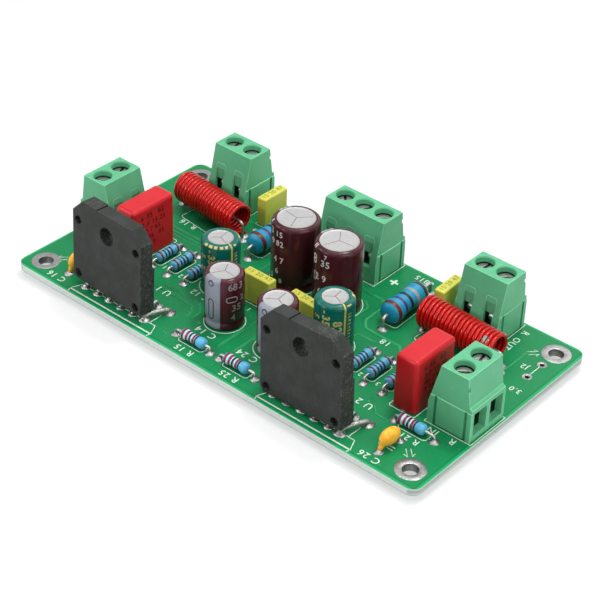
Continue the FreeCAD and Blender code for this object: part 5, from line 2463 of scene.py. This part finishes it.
@dataclass
class Studio:
    """The pale floor, the soft lamps, the white surround and the camera."""

    eye: Point = (177.019, -211.510, 200.387)
    eye_turn: Point = (54.4112, -1.7673, 40.9258)
    lens: float = 101.19
    sensor: float = 36.0
    aim_at: Point = (0.0, 0.0, 6.0)
    floor_level: float = -1.58
    floor_size: float = 6.0
    floor_glow: float = 0.55
    lamps: tuple[Lamp, ...] = (
        Lamp("overhead", (8.0, 10.0, 330.0), 320.0, 0.72),
        Lamp("top_key", (20.0, 90.0, 350.0), 50.0, 0.4),
        Lamp("front_key", (-110.0, -290.0, 190.0), 50.0, 0.24),
        Lamp("left_fill", (-260.0, -200.0, 190.0), 120.0, 0.3),
        Lamp("right_fill", (300.0, -60.0, 210.0), 240.0, 0.52),
        Lamp("back_fill", (0.0, 320.0, 240.0), 260.0, 0.3),
    )
    ambient: float = 0.16
    air: tuple[float, float, float, float] = (0.96, 0.98, 1.0, 1.0)
    white: tuple[float, float, float, float] = (1.0, 1.0, 1.0, 1.0)
    white_rays: tuple[str, str, str] = ("Camera", "Transmission", "Glossy")

    def camera(self) -> None:
        """Stand the camera where the photograph was taken from."""
        nothing()
        turn = tuple(math.radians(angle) for angle in self.eye_turn)
        bpy.ops.object.camera_add(location=Vector(self.eye) * MM, rotation=turn)
        camera = bpy.context.object
        camera.name = "studio_camera"
        camera.data.lens = self.lens
        camera.data.sensor_width = self.sensor
        camera.data.clip_start = 0.01
        camera.data.clip_end = 50.0
        bpy.context.scene.camera = camera

    def lights(self) -> None:
        """Hang the lamps, each aimed at the board."""
        for lamp in self.lamps:
            nothing()
            place = Vector(lamp.at) * MM
            aim = (Vector(self.aim_at) * MM - place).to_track_quat("-Z", "Y")
            bpy.ops.object.light_add(type="AREA", location=place, rotation=aim.to_euler())
            light = bpy.context.object
            light.name = lamp.name
            light.data.shape = "SQUARE"
            light.data.size = lamp.size * MM
            light.data.energy = lamp.watts

    def surround(self) -> None:
        """Light the room evenly, and show it white to the camera and in gloss."""
        world = bpy.data.worlds.new("studio_room")
        bpy.context.scene.world = world
        world.use_nodes = True
        nodes = Nodes(world.node_tree)
        rays = nodes.make("ShaderNodeLightPath").outputs
        camera, through, gloss = (Signal(nodes, rays[f"Is {ray} Ray"]) for ray in self.white_rays)
        lit, shown = (
            nodes.make("ShaderNodeBackground", {}, {"Color": colour, "Strength": strength}).outputs[0]
            for colour, strength in ((self.air, self.ambient), (self.white, 1.0))
        )
        seen = camera.most(through).most(gloss)
        mixed = nodes.make("ShaderNodeMixShader", {}, {0: seen, 1: lit, 2: shown})
        nodes.make("ShaderNodeOutputWorld", {}, {"Surface": mixed.outputs[0]})

    def floor(self) -> None:
        """Lay the pale floor that keeps the shadow."""
        nothing()
        bpy.ops.mesh.primitive_grid_add(
            x_subdivisions=8, y_subdivisions=8, size=self.floor_size,
            location=(0.0, 0.0, self.floor_level * MM),
        )
        floor = bpy.context.object
        floor.name = "studio_floor"
        g = Graph("floor_white")
        g.surface(Base_Color=(0.9, 0.9, 0.9, 1.0), Roughness=0.9, Specular_IOR_Level=0.1)
        glow = g.make("ShaderNodeEmission", {}, {"Color": self.white, "Strength": 1.0})
        seen = g.make("ShaderNodeLightPath")
        share = Signal(g, seen.outputs["Is Camera Ray"]) * self.floor_glow
        mixed = g.make("ShaderNodeMixShader", {}, {0: share, 1: g.shader.outputs[0], 2: glow.outputs[0]})
        g.feed(g.output.inputs["Surface"], mixed.outputs[0])
        coat(floor, g.material)
        floor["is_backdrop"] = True

    def build(self) -> None:
        """Set the studio up."""
        self.floor()
        self.lights()
        self.surround()
        self.camera()
        bpy.context.scene.view_settings.view_transform = "Standard"


@dataclass(frozen=True)
class CanPrint:
    """What is printed on one can, and how its scored top is turned."""

    marks: tuple[Mark, ...]
    shoulder: tuple[tuple[float, float, float], ...]
    score_turn: float


def gold(heading: float, height: float, words: str, cap: float) -> Mark:
    """Give an outlined numeral that reads up a teal can."""
    return Mark(heading, height, words, cap, -90.0, hollow=0.17)


BIG_PRINT: dict[Side, CanPrint] = {
    Side.LEFT: CanPrint(
        (
            Mark(-92.0, 13.6, "15", 1.3), Mark(-90.0, 11.4, "82", 1.3), Mark(-93.0, 7.5, "4 7", 1.35),
            Mark(-97.0, 4.7, "6", 1.3), Mark(-117.0, 13.6, "3", 1.5), Mark(-113.0, 11.3, "9", 1.5),
            Mark(-116.0, 2.9, "5", 1.2), Mark(-86.0, 2.6, "8", 1.1),
        ),
        ((146, 154, 60), (158, 166, 60), (172, 180, 60), (-132, -128, 50)), 51.0,
    ),
    Side.RIGHT: CanPrint(
        (
            Mark(-83.0, 13.9, "7", 1.0), Mark(-83.0, 12.3, "35", 1.5), Mark(-95.0, 8.8, "2 9", 1.5),
            Mark(-97.0, 5.6, "6", 1.3), Mark(-117.0, 12.4, "8", 2.3), Mark(-114.0, 8.6, "", ring=(0.9, 1.9)),
        ),
        ((148, 156, 60), (161, 169, 60), (174, 182, 60), (-126, -123, 60), (-120, -117, 60)), 6.0,
    ),
}
MUTE_BARS = ((150, 158, 60), (163, 170, 50))
MUTE_PRINT: dict[Side, CanPrint] = {
    Side.LEFT: CanPrint(
        (
            Mark(-31.0, 10.4, "6", 1.6), Mark(-17.0, 10.4, "8", 1.6), Mark(2.5, 10.4, "3", 1.6),
            Mark(-26.0, 7.5, "", ring=(2.3, 1.2), line=0.26), Mark(-12.0, 5.4, "35", 1.5),
            Mark(-22.0, 3.2, "4", 1.3), Mark(8.0, 7.4, "2", 1.2),
        ),
        MUTE_BARS, -2.0,
    ),
    Side.RIGHT: CanPrint(
        (
            Mark(-31.0, 10.2, "6", 1.5), Mark(-16.0, 10.2, "8", 1.5), Mark(-1.0, 10.2, "3", 1.5),
            Mark(-26.0, 7.5, "", ring=(2.2, 1.1), line=0.24), Mark(-12.0, 5.4, "35", 1.4),
            Mark(-22.0, 3.2, "4", 1.2), Mark(6.0, 7.5, "2", 1.1),
        ),
        MUTE_BARS, 97.0,
    ),
}
TEAL_MARKS = (
    gold(-76.0, 8.6, "35", 1.6), gold(-76.0, 5.0, "7", 1.6), Mark(-78.0, 10.6, "-", 1.6, -90.0),
    gold(-43.0, 7.4, "82", 1.8), gold(-43.0, 3.8, "6", 1.8), gold(-108.0, 8.8, "5", 1.4),
)
TEAL_PRINT: dict[Side, CanPrint] = {
    Side.LEFT: CanPrint(
        (*TEAL_MARKS, gold(-108.0, 6.0, "5", 1.4)),
        (
            (-15.5, -12.0, 86), (44, 92, 30), (104, 112, 50), (-104, -92, 34), (-86, -74, 34), (-68, -58, 34),
            (-50, -40, 30), (-34, -26, 30), (-4, 6, 20),
        ), 100.0,
    ),
    Side.RIGHT: CanPrint(
        TEAL_MARKS, ((-22.0, -18.5, 86), (44, 56, 60), (62, 68, 40), (74, 84, 50), (-12, 4, 16)), 100.0
    ),
}


def cans() -> list[Electrolytic]:
    """List the six electrolytic capacitors."""
    made = []
    for side in Side:
        maroon = SleeveFinish(
            "big_maroon_sleeve_" + side.value, (70, 28, 35), (52, 19, 25), (150, 142, 148), (70, 30, 38),
            5.05, 15.5, 0.46, 0.055, ((3.0, 1.6, 0.6), (8.0, 1.6, 0.6), (13.0, 1.6, 0.6)),
        )
        mute = SleeveFinish(
            "small_maroon_sleeve_" + side.value, (78, 30, 40), (58, 21, 29), (140, 144, 158), (52, 30, 40),
            4.05, 12.0, -0.247, 0.08, ((4.9, 2.3, 0.6), (10.9, 0.55, 0.55)),
        )
        teal = SleeveFinish(
            "teal_sleeve_" + side.value, (14, 100, 88), (8, 80, 70), (18, 110, 98), (196, 182, 84),
            4.05, 12.0, -0.3, 0.02, (), (-20.3 if side is Side.RIGHT else -13.8) / 360.0,
        )
        for kind, places, sleeve, disc_radius, lead_pitch, prints, ink in (
            (CanKind.SUPPLY, BIG_CAN_PLACES, maroon, 3.98, 5.08, BIG_PRINT, "pale_print"),
            (CanKind.MUTE, SMALL_CAN_PLACES, mute, 2.95, 3.5, MUTE_PRINT, "dim_print"),
            (CanKind.FEEDBACK, TEAL_CAN_PLACES, teal, 2.6, 3.5, TEAL_PRINT, "gold_print"),
        ):
            text = prints[side]
            made.append(Electrolytic(
                side, kind, places[side], sleeve, sleeve.radius, sleeve.length, disc_radius, lead_pitch,
                text.marks, ink, text.shoulder, score_turn=text.score_turn,
            ))
    return made


RED_LINES: tuple[tuple[str, float, float, float], ...] = (
    ("6 35", -2.2, 9.9, 1.25), ("82", 1.9, 9.9, 1.25), ("3.3", -2.6, 8.1, 1.2), ("15 20", 1.2, 8.1, 1.1),
    ("40 7 85", -0.9, 6.4, 1.1), ("9 26", -1.8, 4.8, 1.1), ("05", 1.9, 4.8, 1.1), ("17 3", -1.2, 3.2, 1.0),
)


def boxes() -> list[BoxCapacitor]:
    """List the six box film capacitors."""
    made = []
    for side in Side:
        made.append(BoxCapacitor(
            side.value + "_input_film_capacitor", RED_CAP_PLACES[side], size=(12.0, 5.4, 12.2), edge=1.0,
            steps=5, lead_pitch=10.0, case="red", ink="dark_print", slot=Slot.RED, side_marks=RED_LINES,
        ))
    for name, place in YELLOW_CAP_PLACES.items():
        made.append(BoxCapacitor(
            name + "_film_capacitor", place, size=(7.2, 2.4, 6.8), edge=0.32, steps=3, lead_pitch=5.08,
            case="yellow", ink="olive_print", slot=Slot.YELLOW, top_marks=(("15 20 47", 0.0, 1.12),),
        ))
    return made


def resistors(finishes: Finishes, joints: Joints) -> None:
    """Build every resistor.

    Args:
        finishes: The finishes.
        joints: Takes the leads' places.
    """
    coats = lacquers()
    shifts = {
        "right_input_resistor": -0.6, "left_input_resistor": -0.15,
        "right_mute_resistor": -0.15, "left_mute_resistor": 0.3,
    }
    for name, place in RESISTOR_PLACES.items():
        kind = "feedback" if "feedback" in name else "mute"
        along = shifts.get(name, 0.0)
        small = AxialResistor(
            name, place, length=6.15, diameter=2.3, pitch=9.2, height=1.35, wire=0.6, lacquer=kind,
            stands_for=(name,), along=along,
        )
        seat(small.build(finishes, coats, joints), ROOT, small.stands_for)
    for side, place in POWER_RESISTOR_PLACES.items():
        name = side.value + "_power_resistor"
        big = AxialResistor(
            name, place, length=11.8, diameter=5.0, pitch=16.3, height=2.8, wire=0.8, lacquer="power",
            stands_for=(name,), cap=0.22, along=-1.0,
        )
        seat(big.build(finishes, coats, joints), ROOT, big.stands_for)
    inner = []
    for side, place in COIL_PLACES.items():
        x, y = turned_spot(place, 0.4, -0.4)
        name = side.value + "_damping_resistor"
        along = 1.4 if side is Side.LEFT else 0.0
        part = AxialResistor(
            name, (x, y, place[2]), length=9.0, diameter=3.3, pitch=19.4, height=4.5, wire=0.6,
            lacquer="inner", stands_for=(), waist=1.0, along=along,
        )
        inner.append(part.build(finishes, coats, joints))
    pair = joined("coil_damping_pair", inner)
    seat(pair, ROOT, ["coil_damping_resistors"])


def terminals(finishes: Finishes, joints: Joints) -> None:
    """Build every screw terminal.

    Args:
        finishes: The finishes.
        joints: Takes the pins' places.
    """
    blocks = [ScrewTerminal(name, *shape) for name, shape in TERMINAL_PLACES.items()]
    housings = {shape.poles: shape.housing_master(finishes) for shape in blocks[:2]}
    screw = blocks[0].screw_master()
    contact = blocks[0].contact_master()
    strips = []
    for terminal in blocks:
        terminal.build(finishes, housings[terminal.poles], screw, joints)
        strips += terminal.contact_pieces(contact)
    for spare in (screw, contact, *housings.values()):
        bpy.data.objects.remove(spare)
    seat(coat(joined("contact_strips", strips), finishes.tin), ROOT, ["terminal_contacts"])


def corners() -> list[list[float]]:
    """Give the shown object's lowest and highest corner as plain numbers."""
    return [[float(part) for part in corner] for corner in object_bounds()]


def main() -> None:
    """Build the studio and every piece in order."""
    logging.basicConfig(level=logging.INFO, format="%(message)s")
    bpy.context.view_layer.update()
    Studio().build()
    finishes = Finishes()
    joints = Joints()
    terminals(finishes, joints)
    for side, at in CHIP_PLACES.items():
        PowerChip(side, at).build(finishes, joints)
    for can in cans():
        can.build(finishes, joints)
    for box in boxes():
        box.build(finishes, joints)
    resistors(finishes, joints)
    for side, place in COIL_PLACES.items():
        AirCoil(side, place, scrape_at=SCRAPE_PLACES[side]).build(joints)
    beads = [DippedCeramic(side, place).build(finishes, joints) for side, place in CERAMIC_PLACES.items()]
    seat(joined("ceramic_beads", beads), ROOT, ["ceramic_capacitors"])
    bent = [WireLink(ends).build(finishes, joints) for ends in LINK_ENDS]
    seat(joined("bent_links", bent), ROOT, ["wire_links"])
    CircuitBoard().build(finishes)
    joints.build(finishes)
    nothing()
    bpy.context.view_layer.update()


if __name__ == "__main__":
    main()
